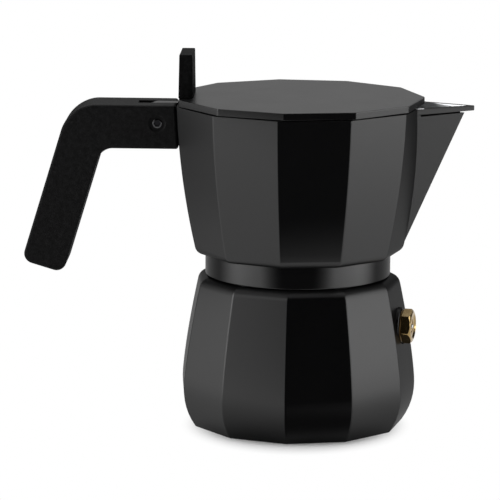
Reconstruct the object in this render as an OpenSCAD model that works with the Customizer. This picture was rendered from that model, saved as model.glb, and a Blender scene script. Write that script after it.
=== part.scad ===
// Stove-top moka pot: faceted boiler and collector, sprung safety valve, funnel,
// seal stack, and a lid that hinges in the handle. Millimetres, +Z up, spout at +X.
// The origin is the centre of the boiler's resting face.

/* [Facets] */
// Number of side facets: odd, so that an edge faces the spout and a facet faces the handle
sides = 11; // [9, 11, 13]

/* [Boiler] */
// Corner radius of the boiler at its foot
boiler_foot_r = 42.6; // [41:0.1:44]
// Corner radius of the boiler at its widest
boiler_belly_r = 47.65; // [46:0.05:50]
// Height of the widest place
boiler_belly_z = 16.2; // [12:0.1:26]
// Corner radius where the sides run out at the flat top
boiler_top_r = 40.45; // [40:0.05:43]
// Height of the boiler's flat top
boiler_h = 60.4; // [54:0.1:70]
// Rounding of the shoulder
boiler_shoulder_round = 4.9; // [2:0.1:5.5]
// Rounding of the foot
boiler_foot_round = 0.8; // [0.5:0.1:2.5]
// Thickness of the boiler's side
boiler_wall = 3; // [2:0.1:4]
// Thickness of the boiler's floor
boiler_floor = 3; // [2:0.1:5]
// How far the boiler is turned past the spout when it is screwed tight, in degrees
boiler_turn = 4; // [0:0.5:8]

/* [Neck and collar] */
// Outer radius of the boiler's threaded neck
neck_r = 34.3; // [33:0.1:35]
// Wall of the neck
neck_wall = 3.9; // [3:0.1:5]
// Height of the neck above the boiler's flat top
neck_h = 6.4; // [5:0.1:8]
// Wall of the collar that screws over the neck
collar_wall = 2.4; // [1.8:0.1:3]
// Height of the collar that shows between the two vessels
collar_h = 8.7; // [8:0.1:11]
// Radial gap between the plain neck and the plain collar
thread_gap = 0.35; // [0.3:0.05:0.6]

/* [Safety valve] */
// Height of the valve's axis
valve_z = 41.2; // [36:0.1:45]
// Width of the hexagon across its flats
valve_af = 12.2; // [10:0.1:14]
// Height of the hexagon
valve_head_h = 4; // [2.5:0.1:5]
// Radius of the screwed shank
valve_shank_r = 4.8; // [4:0.1:5.5]
// How far the shank passes the inside of the boiler's wall
valve_shank_out = 1.2; // [0.5:0.1:3]
// Radius of the sprung pin
valve_pin_r = 0.9; // [0.7:0.05:1.1]
// Travel of the sprung pin
valve_travel = 1.2; // [0.6:0.1:1.5]
// Thickness of the sealing washer
valve_washer_t = 0.7; // [0.4:0.1:1.2]
// How far the washer's seat stands off the facet at the valve's height
valve_pad_out = 0.4; // [0.2:0.1:1]

/* [Funnel] */
// Radial gap between the funnel's cup and the neck's bore
funnel_gap = 0.4; // [0.3:0.05:0.6]
// Sheet thickness of the funnel
funnel_t = 0.8; // [0.6:0.1:1.2]
// Depth of the coffee cup under its rim
funnel_cup_h = 17.5; // [14:0.5:20]
// Height of the cone under the cup
funnel_cone_h = 8; // [6:0.5:10]
// Outer radius of the stem
funnel_stem_r = 4.6; // [4:0.1:6]
// Gap between the stem's end and the boiler's floor
funnel_stem_gap = 5; // [4:0.5:8]
// Radius of each strainer hole
strainer_hole_r = 0.8; // [0.5:0.05:0.9]

/* [Seal stack] */
// Thickness of the rubber gasket
gasket_t = 3.3; // [2.5:0.1:4]
// Inner radius of the gasket
gasket_inner_r = 26.5; // [25:0.1:27.5]
// Thickness of the filter plate
plate_t = 0.8; // [0.6:0.1:1]
// Radius of each filter hole
filter_hole_r = 0.6; // [0.4:0.05:0.8]

/* [Collector] */
// Height of the collector's rim above its flat underside
collector_h = 59.45; // [54:0.05:70]
// Corner radius of the collector at its foot, before rounding
collector_foot_r = 41.7; // [40.5:0.1:43]
// Corner radius of the collector at its rim
collector_rim_r = 50.15; // [49.5:0.05:52]
// How far each side bows out from a straight line at mid height
collector_bow = 1.55; // [0.5:0.05:2.5]
// Rounding of the collector's foot
collector_foot_round = 3.9; // [1:0.1:4.5]
// Thickness of the collector's side
collector_wall = 2.3; // [1.8:0.1:3]
// Thickness of the collector's floor over the filter
collector_floor = 2.4; // [2:0.1:3.5]

/* [Riser column] */
// Outer radius of the column at the floor
column_foot_r = 8; // [7:0.1:9]
// Outer radius of the column at its top
column_top_r = 5; // [4.6:0.1:6]
// Bore radius of the column
column_bore_r = 3.2; // [2.5:0.1:3.6]
// Height of the column above the floor
column_h = 36; // [30:0.5:40]
// Radius of each side outlet
outlet_r = 2.2; // [1.5:0.1:2.5]

/* [Spout] */
// Reach of the pouring edge from the pot's axis
spout_tip_x = 69.4; // [67.4:0.1:72]
// Where the spout's front edge meets the rim's height
spout_front_x = 66.8; // [64:0.1:67.2]
// Half the width of the spout at the rim
spout_half_w = 12.15; // [10:0.05:13]
// Height of the spout's foot above the collector's underside
spout_foot_h = 3.2; // [3:0.1:12]
// Wall of the spout
spout_wall = 1.6; // [1.2:0.1:2]
// Depth of the thick edge around the spout's mouth
lip_h = 1.8; // [1.5:0.1:3]
// Half the width of the blunt pouring edge
lip_half_w = 0.9; // [0.5:0.1:1.5]
// Wall of the pouring edge
lip_wall = 1.7; // [1.2:0.1:2.2]

/* [Lid] */
// How far the lid's edge lies inside the collector's rim
lid_edge_inset = 0.15; // [0:0.05:0.5]
// Thickness of the lid's plate
lid_t = 2.4; // [2:0.1:4]
// Shadow gap between the collector's rim and the lid
lid_gap = 0.65; // [0.5:0.05:1.6]
// How far the seat under the lid lies in from its edge
lid_seat_inset = 2.3; // [1.8:0.1:3]
// Gap between the lid's seat and the rim
seat_gap = 0.3; // [0.2:0.05:0.5]
// Depth of the rib that centres the lid
lid_rib_h = 2; // [1:0.1:3]
// Thickness of the rib that centres the lid
lid_rib_t = 1.3; // [1:0.1:2]

/* [Hinge] */
// Distance of the hinge pin behind the collector's back facet
hinge_back = 7.8; // [7.6:0.1:9]
// Radius of the lid's hinge eye
eye_r = 7.2; // [6:0.1:7.3]
// Width of the lid's hinge arm
arm_w = 5.8; // [4.5:0.1:6.5]
// Height of the arm where it passes the collector's rim
arm_h = 4.6; // [3:0.1:5]
// Radius of the hinge screw
pin_r = 2; // [1.5:0.05:2.2]
// Radial running gap of the lid's eye on the screw
pin_gap = 0.06; // [0.03:0.01:0.1]
// Thickness of each ear of the collector
ear_t = 3.4; // [2.5:0.1:4]
// Thickness of each hinge washer
hinge_washer_t = 0.4; // [0.3:0.1:0.6]

/* [Handle] */
// Width of the handle
handle_w = 22.8; // [21:0.1:26]
// Height of the handle's arm
handle_arm_h = 17.4; // [16.8:0.1:20]
// Thickness of the handle's leg
handle_leg_t = 17.3; // [15:0.05:20]
// Height of the handle's flat top above the collector's rim
handle_rise = 0.1; // [0:0.05:0.6]
// Gap between the handle's end and the collector's facet
handle_end_gap = 0.5; // [0.3:0.1:1]
// Distance of the outer corner, before rounding, from the hinge pin
handle_reach = 35.1; // [30:0.1:40]
// Length of the leg's outer side below the handle's top
handle_drop = 62.9; // [55:0.1:75]
// How far the leg leans out, in degrees
leg_lean = 16.8; // [10:0.1:22]
// Radius of the outer bend
bend_outer_r = 14.4; // [10:0.1:20]
// Radius of the inner bend
bend_inner_r = 5.8; // [2:0.1:8]
// Radius of the corners at the leg's end
leg_end_r = 4; // [2:0.1:5.5]
// Rounding of the handle's long edges
handle_edge_r = 1.1; // [0.6:0.1:1.6]

/* [Knob] */
// Thickness of the knob at the lid
knob_t = 5.8; // [5.4:0.1:8]
// Thickness of the knob at its top
knob_top_t = 5.2; // [4.5:0.1:5.4]
// Width of the knob
knob_w = 22.8; // [18:0.1:24]
// Height of the knob above the lid
knob_h = 17.3; // [14:0.1:22]
// How far the knob stands in from the lid's back edge
knob_inset = 0.25; // [0.1:0.05:1]
// Distance between the two knob screws
knob_screw_pitch = 13; // [10:0.5:15]
// Radius of the knob screws
knob_screw_r = 1.25; // [1:0.05:1.4]

/* [Hidden] */

$fn = 96;

satin_black = "#2c2d2e";
grained_black = "#1b1b1c";
bare_alloy = "#c3c5c7";
polished_brass = "#c39a4a";
steel = "#8d9094";

// Half the angle of one facet, and the share of a corner radius at a facet's middle
half_facet = 180 / sides;
flat_share = cos(half_facet);

// Small overlap that keeps cuts and joins clean, and the length by which a cut runs past a face
eps = 0.05;
past = 1;
// Gap between pieces that move past each other
move_gap = 0.3;
// Gap between pieces that are fastened to each other, and between a screw and its seat
fit_gap = 0.1;
screw_gap = 0.04;

// Heights of the stack, from the table up
neck_top = boiler_h + neck_h;
funnel_rim_z = neck_top + move_gap;
gasket_z = funnel_rim_z + funnel_t + move_gap;
plate_z = gasket_z + gasket_t;
collar_z = boiler_h + move_gap;
collector_z = collar_z + collar_h;
rim_z = collector_z + collector_h;
lid_z = rim_z + lid_gap;
lid_top = lid_z + lid_t;

// Radii of the screwed joint
neck_bore_r = neck_r - neck_wall;
collar_bore_r = neck_r + thread_gap;
collar_r = collar_bore_r + collar_wall;

// How far the funnel's flange and the gasket stay inside what is around them
flange_inset = 0.9;
gasket_inset = 1.4;
flange_r = neck_r - flange_inset;
gasket_r = collar_bore_r - gasket_inset;
// Rim of the filter plate that the gasket holds
plate_margin = 2.2;
plate_r = gasket_inner_r + plate_margin;

lid_r = collector_rim_r - lid_edge_inset;

// Side curve of the boiler: two bows that meet at the belly
boiler_foot_power = 2.3;
boiler_bow_power = 1.36;
function boiler_r(z) = z < boiler_belly_z
    ? boiler_belly_r - (boiler_belly_r - boiler_foot_r)
      * pow(1 - z / boiler_belly_z, boiler_foot_power)
    : boiler_belly_r - (boiler_belly_r - boiler_top_r)
      * pow((z - boiler_belly_z) / (boiler_h - boiler_belly_z), boiler_bow_power);

// Side curve of the collector: a straight taper with an even bow
function collector_share(z) = (z - collector_z) / collector_h;
function collector_r(z) = collector_foot_r
    + (collector_rim_r - collector_foot_r) * collector_share(z)
    + 4 * collector_bow * collector_share(z) * (1 - collector_share(z));

// Evenly spaced values from a to b
function steps(a, b, n) = [for (i = [0:n]) a + (b - a) * i / n];
// Points of an arc
function arc(x, z, r, a0, a1, n) = [for (a = steps(a0, a1, n)) [x + r * cos(a), z + r * sin(a)]];
// Lean of the boiler's and the collector's side at a height, positive when it faces up
function boiler_tilt(z) = atan((boiler_r(z - eps) - boiler_r(z + eps)) / (2 * eps));
function collector_tilt(z) = atan((collector_r(z - eps) - collector_r(z + eps)) / (2 * eps));

boiler_side_steps = 18;
collector_side_steps = 14;
round_steps = 5;

// Where the boiler's side meets its shoulder and foot roundings
shoulder_tilt = boiler_tilt(boiler_h - boiler_shoulder_round);
shoulder_z = boiler_h - boiler_shoulder_round * (1 - sin(shoulder_tilt));
foot_tilt = boiler_tilt(boiler_foot_round);
foot_z = boiler_foot_round * (1 + sin(foot_tilt));
under_tilt = collector_tilt(collector_z + collector_foot_round);
under_z = collector_z + collector_foot_round * (1 + sin(under_tilt));

boiler_outline = concat(
    [[0, 0]],
    arc(boiler_r(foot_z) - boiler_foot_round * cos(foot_tilt), boiler_foot_round,
        boiler_foot_round, -90, foot_tilt, round_steps),
    [for (z = steps(foot_z, shoulder_z, boiler_side_steps)) [boiler_r(z), z]],
    arc(boiler_r(shoulder_z) - boiler_shoulder_round * cos(shoulder_tilt),
        boiler_h - boiler_shoulder_round, boiler_shoulder_round, shoulder_tilt, 90, round_steps),
    [[0, boiler_h]]);

collector_outline = concat(
    [[0, collector_z]],
    arc(collector_r(under_z) - collector_foot_round * cos(under_tilt),
        collector_z + collector_foot_round, collector_foot_round, -90, under_tilt, round_steps),
    [for (z = steps(under_z, rim_z, collector_side_steps)) [collector_r(z), z]],
    [[0, rim_z]]);

// Faceted solid with a corner at +X
module faceted(outline) {
    rotate_extrude($fn = sides, angle = 360, start = 0) polygon(outline);
}

// Flat faceted plate between two heights
module facet_plate(r, z0, z1) {
    translate([0, 0, z0]) cylinder(r = r, h = z1 - z0, $fn = sides);
}

// Ring of holes through a round sheet: one in the middle and six more in each ring
module hole_rings(rings, pitch, r, z, h) {
    translate([0, 0, z]) cylinder(r = r, h = h, $fn = 24);
    for (ring = [1:rings], i = [0:6 * ring - 1])
        rotate(360 * i / (6 * ring))
            translate([ring * pitch, 0, z]) cylinder(r = r, h = h, $fn = 24);
}

// ---------------------------------------------------------------- boiler

// Radius of the round cavity inside the boiler
function boiler_cavity_r(z) = boiler_r(z) * flat_share - boiler_wall;
cavity_roof_h = 7;
cavity_top_z = boiler_h - boiler_wall - cavity_roof_h;
cavity_floor_round = 5;

// Frame of the valve: +Z runs out of the boiler along the valve's axis
valve_angle = boiler_turn - half_facet;
valve_pad_d = boiler_r(valve_z) * flat_share + valve_pad_out;
valve_wall_d = boiler_cavity_r(valve_z);
valve_washer_margin = 0.5;
valve_washer_r = valve_af / 2 + valve_washer_margin;
valve_pad_margin = 0.7;
valve_pad_r = valve_washer_r + valve_pad_margin;
module on_valve(d) {
    rotate([0, 0, valve_angle]) translate([d, 0, valve_z]) rotate([0, 90, 0]) children();
}

module boiler_cavity() {
    rotate_extrude() polygon(concat(
        [[0, boiler_floor]],
        arc(boiler_cavity_r(boiler_floor + cavity_floor_round) - cavity_floor_round,
            boiler_floor + cavity_floor_round, cavity_floor_round, -90, 0, round_steps),
        [for (z = steps(boiler_floor + cavity_floor_round, cavity_top_z, 8))
            [boiler_cavity_r(z), z]],
        [[neck_bore_r, boiler_h - boiler_wall], [neck_bore_r, neck_top + past], [0, neck_top + past]]));
}

module boiler() {
    color(satin_black)
    difference() {
        union() {
            rotate([0, 0, boiler_turn]) faceted(boiler_outline);
            translate([0, 0, boiler_h - past]) cylinder(r = neck_r, h = neck_h + past);
            on_valve(valve_wall_d - past)
                cylinder(r = valve_pad_r, h = valve_pad_d - valve_wall_d + past);
        }
        boiler_cavity();
        on_valve(valve_pad_d) cylinder(r = valve_pad_r, h = valve_head_h);
        on_valve(valve_wall_d - boiler_wall)
            cylinder(r = valve_shank_r, h = valve_pad_d - valve_wall_d + boiler_wall + past);
    }
}

// ---------------------------------------------------------------- safety valve

// Places along the valve's axis, measured from the washer's outer face
valve_head_d = valve_pad_d + valve_washer_t;
valve_shank_end = -(valve_head_d - valve_wall_d + valve_shank_out);
valve_chamber_gap = 1.7;
valve_chamber_r = valve_pin_r + valve_chamber_gap;
valve_chamfer = 0.5;
// Insets of the round face and of the turned-off corners from the hexagon
valve_face_inset = 0.4;
valve_corner_out = 1;
valve_face_r = valve_af / 2 - valve_face_inset;
valve_corner_r = valve_af / 2 + valve_corner_out;
valve_seat_t = 1.6;
valve_inlet_r = 1.1;
valve_cap_t = 0.6;
valve_dish = 0.8;
valve_dish_rim = 1.2;
valve_pin_disc_r = valve_chamber_r - move_gap;
valve_pin_disc_t = 0.9;
// How far the pin stands out of the valve's face when it is fully open
valve_pin_out = 1;
valve_pin_inset = valve_travel - valve_pin_out;
valve_pin_gap = 0.06;
valve_seat_gap = 0.1;
valve_seat_z = valve_shank_end + valve_seat_t;
valve_disc_top = valve_seat_z + valve_seat_gap + valve_pin_disc_t;
valve_cap_z = valve_head_h - valve_dish - valve_cap_t;

// Brass body: chamfered hexagon, shank, sprung chamber and a dished outer face
module valve_body() {
    color(polished_brass)
    on_valve(valve_head_d) difference() {
        union() {
            intersection() {
                cylinder(r = valve_af / 2 / cos(30), h = valve_head_h, $fn = 6);
                rotate_extrude() polygon([
                    [0, 0], [valve_corner_r - valve_chamfer, 0], [valve_corner_r, valve_chamfer],
                    [valve_corner_r, valve_head_h - 2 * valve_chamfer],
                    [valve_face_r, valve_head_h], [0, valve_head_h]]);
            }
            translate([0, 0, valve_shank_end]) cylinder(r = valve_shank_r, h = -valve_shank_end + eps);
        }
        translate([0, 0, valve_shank_end - past])
            cylinder(r = valve_inlet_r, h = valve_head_h - valve_shank_end);
        translate([0, 0, valve_seat_z])
            cylinder(r = valve_chamber_r, h = valve_head_h - valve_seat_z + past);
        translate([0, 0, valve_head_h - valve_dish])
            cylinder(r1 = valve_chamber_r + valve_chamfer, r2 = valve_face_r - valve_dish_rim,
                     h = valve_dish + eps);
    }
}

// Sealing washer between the hexagon and the boiler
module valve_washer() {
    color(bare_alloy)
    on_valve(valve_pad_d) difference() {
        cylinder(r = valve_washer_r, h = valve_washer_t);
        translate([0, 0, -past]) cylinder(r = valve_shank_r + fit_gap, h = valve_washer_t + 2 * past);
    }
}

// Cap crimped over the chamber; the pin's stem passes through it
module valve_cap() {
    color(polished_brass)
    on_valve(valve_head_d) difference() {
        translate([0, 0, valve_cap_z]) cylinder(r = valve_chamber_r, h = valve_cap_t);
        translate([0, 0, valve_cap_z - past])
            cylinder(r = valve_pin_r + valve_pin_gap, h = valve_cap_t + 2 * past);
    }
}

// Sprung pin: a sealing disc and a stem that shows at the valve's face
module valve_pin() {
    color(steel)
    on_valve(valve_head_d) {
        translate([0, 0, valve_disc_top - valve_pin_disc_t])
            cylinder(r = valve_pin_disc_r, h = valve_pin_disc_t);
        translate([0, 0, valve_disc_top - eps])
            cylinder(r = valve_pin_r, h = valve_head_h - valve_pin_inset - valve_disc_top);
    }
}

// Wire of the valve's spring
spring_wire_r = 0.28;
spring_r = valve_pin_r + move_gap + spring_wire_r;
spring_turns = 4;
turn_steps = 12;
wire_sides = 6;
spring_lead = (valve_cap_z - valve_disc_top - 2 * spring_wire_r - 2 * fit_gap) / spring_turns;
spring_z = valve_disc_top + spring_wire_r + fit_gap;
function spring_point(t) = [spring_r * cos(360 * t), spring_r * sin(360 * t), spring_z + spring_lead * t];
module valve_spring() {
    rings = spring_turns * turn_steps;
    points = [for (i = [0:rings], k = [0:wire_sides - 1])
        let (t = i / turn_steps, a = 360 * k / wire_sides, w = spring_wire_r * cos(a))
        spring_point(t) + [w * cos(360 * t), w * sin(360 * t), spring_wire_r * sin(a)]];
    walls = [for (i = [0:rings - 1], k = [0:wire_sides - 1])
        let (n = (k + 1) % wire_sides, a = i * wire_sides, b = a + wire_sides)
        [a + k, b + k, b + n, a + n]];
    ends = [[for (k = [0:wire_sides - 1]) k],
            [for (k = [wire_sides - 1:-1:0]) rings * wire_sides + k]];
    color(steel) on_valve(valve_head_d) polyhedron(points, concat(walls, ends), convexity = 6);
}

// ---------------------------------------------------------------- funnel

cup_r = neck_bore_r - funnel_gap;
cup_floor_z = funnel_rim_z + funnel_t - funnel_cup_h;
cone_foot_z = cup_floor_z - funnel_cone_h;
stem_end_z = boiler_floor + funnel_stem_gap;
strainer_t = 0.7;
strainer_seat = 1.2;
strainer_rim = 2.7;
strainer_rings = 5;

// Coffee cup, cone and stem in one sheet
module funnel() {
    color(bare_alloy)
    rotate_extrude() polygon([
        [funnel_stem_r, stem_end_z], [funnel_stem_r, cone_foot_z],
        [cup_r, cup_floor_z - funnel_t], [cup_r, funnel_rim_z],
        [flange_r, funnel_rim_z], [flange_r, funnel_rim_z + funnel_t],
        [cup_r - funnel_t, funnel_rim_z + funnel_t], [cup_r - funnel_t, cup_floor_z],
        [cup_r - funnel_t - strainer_seat, cup_floor_z],
        [funnel_stem_r - funnel_t, cone_foot_z + funnel_t], [funnel_stem_r - funnel_t, stem_end_z]]);
}

// Perforated sheet that holds the grounds
module funnel_strainer() {
    strainer_r = cup_r - funnel_t;
    color(bare_alloy)
    difference() {
        translate([0, 0, cup_floor_z]) cylinder(r = strainer_r, h = strainer_t);
        hole_rings(strainer_rings, (strainer_r - strainer_rim) / strainer_rings, strainer_hole_r,
                   cup_floor_z - past, strainer_t + 2 * past);
    }
}

// ---------------------------------------------------------------- seal stack

// Rubber ring that seals the funnel's rim against the collector
module gasket() {
    color("#b8b2a4")
    translate([0, 0, gasket_z]) difference() {
        cylinder(r = gasket_r, h = gasket_t);
        translate([0, 0, -past]) cylinder(r = gasket_inner_r, h = gasket_t + 2 * past);
    }
}

// Perforated upper filter, held by the gasket
filter_rings = 6;
filter_rim = 2;
module filter_plate() {
    color(bare_alloy)
    difference() {
        translate([0, 0, plate_z]) cylinder(r = plate_r, h = plate_t);
        hole_rings(filter_rings, (gasket_inner_r - filter_rim) / filter_rings, filter_hole_r,
                   plate_z - past, plate_t + 2 * past);
    }
}

// ---------------------------------------------------------------- collector

// Steps of the recess under the collector's floor
gasket_roof_z = plate_z + move_gap;
plate_roof_z = plate_z + plate_t + move_gap;
dome_h = 2.2;
dome_rim = 1;
column_seat_wall = 2;
column_seat_r = column_bore_r + column_seat_wall;
floor_edge_z = plate_roof_z + collector_floor;
floor_mid_z = floor_edge_z + dome_h;
inner_floor_round = 4;

// Corner radius of the collector's cavity
function collector_cavity_r(z) = collector_r(z) - collector_wall / flat_share;

// Corner of the spout's foot, and the straight edges that run up from it
spout_foot_z = collector_z + spout_foot_h;
spout_foot = [collector_r(spout_foot_z), 0, spout_foot_z];
// A point of the facet beside the spout, at the rim
spout_root_x = collector_rim_r - spout_half_w * tan(half_facet);
spout_rise = rim_z - spout_foot_z;

// Outward normal of the spout's side, for walls of even thickness
spout_side = cross([spout_front_x - spout_foot[0], 0, spout_rise],
                   [spout_root_x - spout_foot[0], spout_half_w, spout_rise]);
spout_wall_x = spout_wall * norm(spout_side) / abs(spout_side[0]);

// Wedge of the spout, moved back by dx and carried up to a height
module spout_wedge(dx, top_z) {
    k = (top_z - spout_foot_z) / spout_rise;
    root_x = spout_foot[0] + k * (spout_root_x - spout_foot[0]);
    front_x = spout_foot[0] + k * (spout_front_x - spout_foot[0]);
    translate([-dx, 0, 0]) polyhedron(
        [spout_foot, [root_x, k * spout_half_w, top_z], [root_x, -k * spout_half_w, top_z],
         [front_x, 0, top_z]],
        [[0, 1, 2], [0, 3, 1], [0, 2, 3], [1, 3, 2]]);
}

// How far the pouring edge's band reaches back into the collector's wall
lip_back = 2;
// Thick pouring edge around the spout's mouth
module spout_lip() {
    root_in_y = spout_half_w - lip_back / 2;
    translate([0, 0, rim_z - lip_h]) linear_extrude(lip_h) polygon([
        [spout_root_x - lip_back, -root_in_y], [spout_root_x, -spout_half_w],
        [spout_tip_x, -lip_half_w], [spout_tip_x, lip_half_w],
        [spout_root_x, spout_half_w], [spout_root_x - lip_back, root_in_y]]);
}

// Depth of the run-out as a share of the band, its length into the collector and its narrow end
run_out_share = 0.6;
run_out_back = 4;
run_out_half_w = 0.2;
// Shallow run-out that carries the channel to the pouring edge
module lip_channel() {
    root_y = spout_half_w - lip_wall / sin(atan2(spout_tip_x - spout_root_x, spout_half_w));
    end_x = spout_tip_x - 2 * lip_wall;
    translate([0, 0, rim_z - lip_h * run_out_share]) linear_extrude(lip_h) polygon([
        [spout_root_x - run_out_back, -root_y], [spout_root_x - lip_wall, -root_y],
        [end_x, -run_out_half_w], [end_x, run_out_half_w],
        [spout_root_x - lip_wall, root_y], [spout_root_x - run_out_back, root_y]]);
}

// Hinge line and the clearances around it
back_facet_x = -collector_rim_r * flat_share;
handle_top_z = rim_z + handle_rise;
hinge_x = back_facet_x - hinge_back;
hinge_z = handle_top_z - eye_r;
arm_under_z = handle_top_z - arm_h;
arm_half_w = arm_w / 2;
slot_half_w = arm_half_w + fit_gap + hinge_washer_t;
ear_out_y = slot_half_w + ear_t;
// How far the ears stay inside the round of the lid's eye
ear_inset = 1.2;
ear_r = eye_r - ear_inset;
// Length of the notch, from the back facet into the collector
notch_past_wall = 4;
notch_l = collector_wall + notch_past_wall;

// Side view of one ear: a round end joined to the wall of the collector
module ear_outline(grow) {
    translate([hinge_x, hinge_z]) circle(r = ear_r + grow);
    translate([hinge_x, hinge_z - ear_r - grow])
        square([back_facet_x + collector_wall - hinge_x, 2 * (ear_r + grow)]);
}

// Places a side view, drawn in X and Z, between two Y values
module side_slab(y0, y1) {
    translate([0, y1, 0]) rotate([90, 0, 0]) linear_extrude(y1 - y0) children();
}

module collector_cavity() {
    floor_r = collector_cavity_r(floor_edge_z + inner_floor_round) - inner_floor_round;
    faceted(concat(
        [[0, floor_mid_z], [column_foot_r + dome_rim, floor_mid_z]],
        arc(floor_r, floor_edge_z + inner_floor_round, inner_floor_round, -90, 0, round_steps),
        [for (z = steps(floor_edge_z + inner_floor_round, rim_z + past, 6))
            [collector_cavity_r(z), z]],
        [[0, rim_z + past]]));
    // Channel of the spout, which starts above the floor's rounding
    intersection() {
        spout_wedge(spout_wall_x, rim_z + past);
        translate([0, -spout_half_w, floor_edge_z + inner_floor_round])
            cube([spout_tip_x, 2 * spout_half_w, collector_h]);
    }
}

recess_chamfer = 0.9;
// Recess that takes the neck, the gasket, the filter plate and the steam dome
module seal_recess() {
    rotate_extrude() polygon([
        [0, collar_z - past], [collar_bore_r, collar_z - past],
        [collar_bore_r, gasket_roof_z - recess_chamfer],
        [collar_bore_r - recess_chamfer, gasket_roof_z],
        [plate_r + move_gap, gasket_roof_z], [plate_r + move_gap, plate_roof_z],
        [plate_r - plate_margin, plate_roof_z], [column_seat_r + dome_rim, plate_roof_z + dome_h],
        [0, plate_roof_z + dome_h]]);
}

module collector() {
    color(satin_black)
    difference() {
        union() {
            faceted(collector_outline);
            translate([0, 0, collar_z]) cylinder(r = collar_r, h = collar_h + past);
            spout_wedge(0, rim_z);
            spout_lip();
            side_slab(slot_half_w, ear_out_y) ear_outline(0);
            side_slab(-ear_out_y, -slot_half_w) ear_outline(0);
        }
        collector_cavity();
        lip_channel();
        seal_recess();
        translate([0, 0, plate_roof_z]) cylinder(r = column_seat_r, h = dome_h + collector_floor + past);
        // Notch in the rim for the lid's arm
        translate([back_facet_x - past, -slot_half_w, arm_under_z - move_gap])
            cube([notch_l + past, 2 * slot_half_w, arm_h + move_gap + past]);
        translate([hinge_x, -ear_out_y - past, hinge_z]) rotate([-90, 0, 0])
            cylinder(r = pin_r, h = 2 * (ear_out_y + past));
    }
}

column_z = floor_mid_z + screw_gap;
column_top_z = column_z + column_h;
column_flange_h = 0.8;
column_chamfer = 1.2;
// The head above the cone is straight, so that the outlets cut a plain cylinder
column_head_h = 4 * outlet_r;
outlet_z = column_top_z - 2 * outlet_r;

// Column that carries the coffee up and lets it out at two side holes
module riser_column() {
    seat_z = plate_roof_z + dome_h;
    color(bare_alloy)
    difference() {
        rotate_extrude() polygon([
            [0, seat_z], [column_seat_r - screw_gap, seat_z], [column_seat_r - screw_gap, column_z],
            [column_foot_r, column_z], [column_foot_r, column_z + column_flange_h],
            [column_top_r, column_top_z - column_head_h],
            [column_top_r, column_top_z - column_chamfer],
            [column_top_r - column_chamfer, column_top_z], [0, column_top_z]]);
        translate([0, 0, seat_z - past]) cylinder(r = column_bore_r, h = outlet_z - seat_z + past);
        translate([0, column_foot_r, outlet_z]) rotate([90, 0, 0])
            cylinder(r = outlet_r, h = 2 * column_foot_r);
    }
}

// ---------------------------------------------------------------- handle

// Corner points of the handle's side view, before rounding
handle_corner = [hinge_x - handle_reach, handle_top_z];
leg_dir = [-sin(leg_lean), -cos(leg_lean)];
leg_side = [cos(leg_lean), -sin(leg_lean)];
leg_foot = handle_corner + leg_dir * (handle_drop / cos(leg_lean));
arm_foot_z = handle_top_z - handle_arm_h;
// Where the leg's inner side meets the arm's underside
leg_inner_x = handle_corner[0] + handle_leg_t / cos(leg_lean) - handle_arm_h * tan(leg_lean);
inner_corner = [leg_inner_x, arm_foot_z];
facet_top_x = back_facet_x - handle_end_gap;
facet_foot_x = -collector_r(arm_foot_z) * flat_share - handle_end_gap;

// Points that replace the corner at p, between the points before and after it, by an arc
function unit(v) = v / norm(v);
function round_corner(before, p, after, r, n) =
    let (u = unit(before - p), v = unit(after - p),
         half = acos(u * v) / 2,
         centre = p + unit(u + v) * (r / sin(half)),
         a = p + u * (r / tan(half)) - centre,
         b = p + v * (r / tan(half)) - centre,
         a0 = atan2(a[1], a[0]),
         turn = atan2(a[0] * b[1] - a[1] * b[0], a * b))
    [for (i = [0:n]) centre + r * [cos(a0 + turn * i / n), sin(a0 + turn * i / n)]];

leg_foot_in = leg_foot + leg_side * handle_leg_t;
handle_outline = concat(
    [[facet_top_x, handle_top_z]],
    round_corner([facet_top_x, handle_top_z], handle_corner, leg_foot, bend_outer_r, 12),
    round_corner(handle_corner, leg_foot, leg_foot_in, leg_end_r, 4),
    round_corner(leg_foot, leg_foot_in, inner_corner, leg_end_r, 4),
    round_corner(leg_foot_in, inner_corner, [facet_foot_x, arm_foot_z], bend_inner_r, 4),
    [[facet_foot_x, arm_foot_z]]);

handle_half_w = handle_w / 2;
slot_end_gap = 0.8;
insert_wall = 1.4;
insert_r = pin_r + insert_wall;
insert_l = 3;
// Faint dish around the screw's head, and how far the screw stays inside both sides
dish_r = 3.5;
dish_foot_r = pin_r + 0.5;
dish_h = 0.5;
screw_inset = 0.3;

// Bent grip with a slot for the lid's arm, pockets for the ears and the screw's hole
module handle() {
    color(grained_black)
    difference() {
        minkowski() {
            side_slab(-handle_half_w + handle_edge_r, handle_half_w - handle_edge_r)
                offset(delta = -handle_edge_r) polygon(handle_outline);
            sphere(r = handle_edge_r, $fn = 12);
        }
        // Slot for the lid's arm, with its blind end just behind the eye
        translate([hinge_x - eye_r - slot_end_gap, -slot_half_w, hinge_z - eye_r - slot_end_gap])
            cube([eye_r + slot_end_gap + hinge_back, 2 * slot_half_w, 2 * (eye_r + slot_end_gap)]);
        side_slab(-ear_out_y - fit_gap, ear_out_y + fit_gap) ear_outline(fit_gap);
        translate([hinge_x, -handle_half_w - past, hinge_z]) rotate([-90, 0, 0])
            cylinder(r = pin_r, h = handle_w + 2 * past);
        translate([hinge_x, handle_half_w, hinge_z]) rotate([90, 0, 0])
            cylinder(r = insert_r, h = insert_l);
        translate([hinge_x, -handle_half_w - eps, hinge_z]) rotate([-90, 0, 0])
            cylinder(r1 = dish_r, r2 = dish_foot_r, h = dish_h + eps);
    }
}

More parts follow.
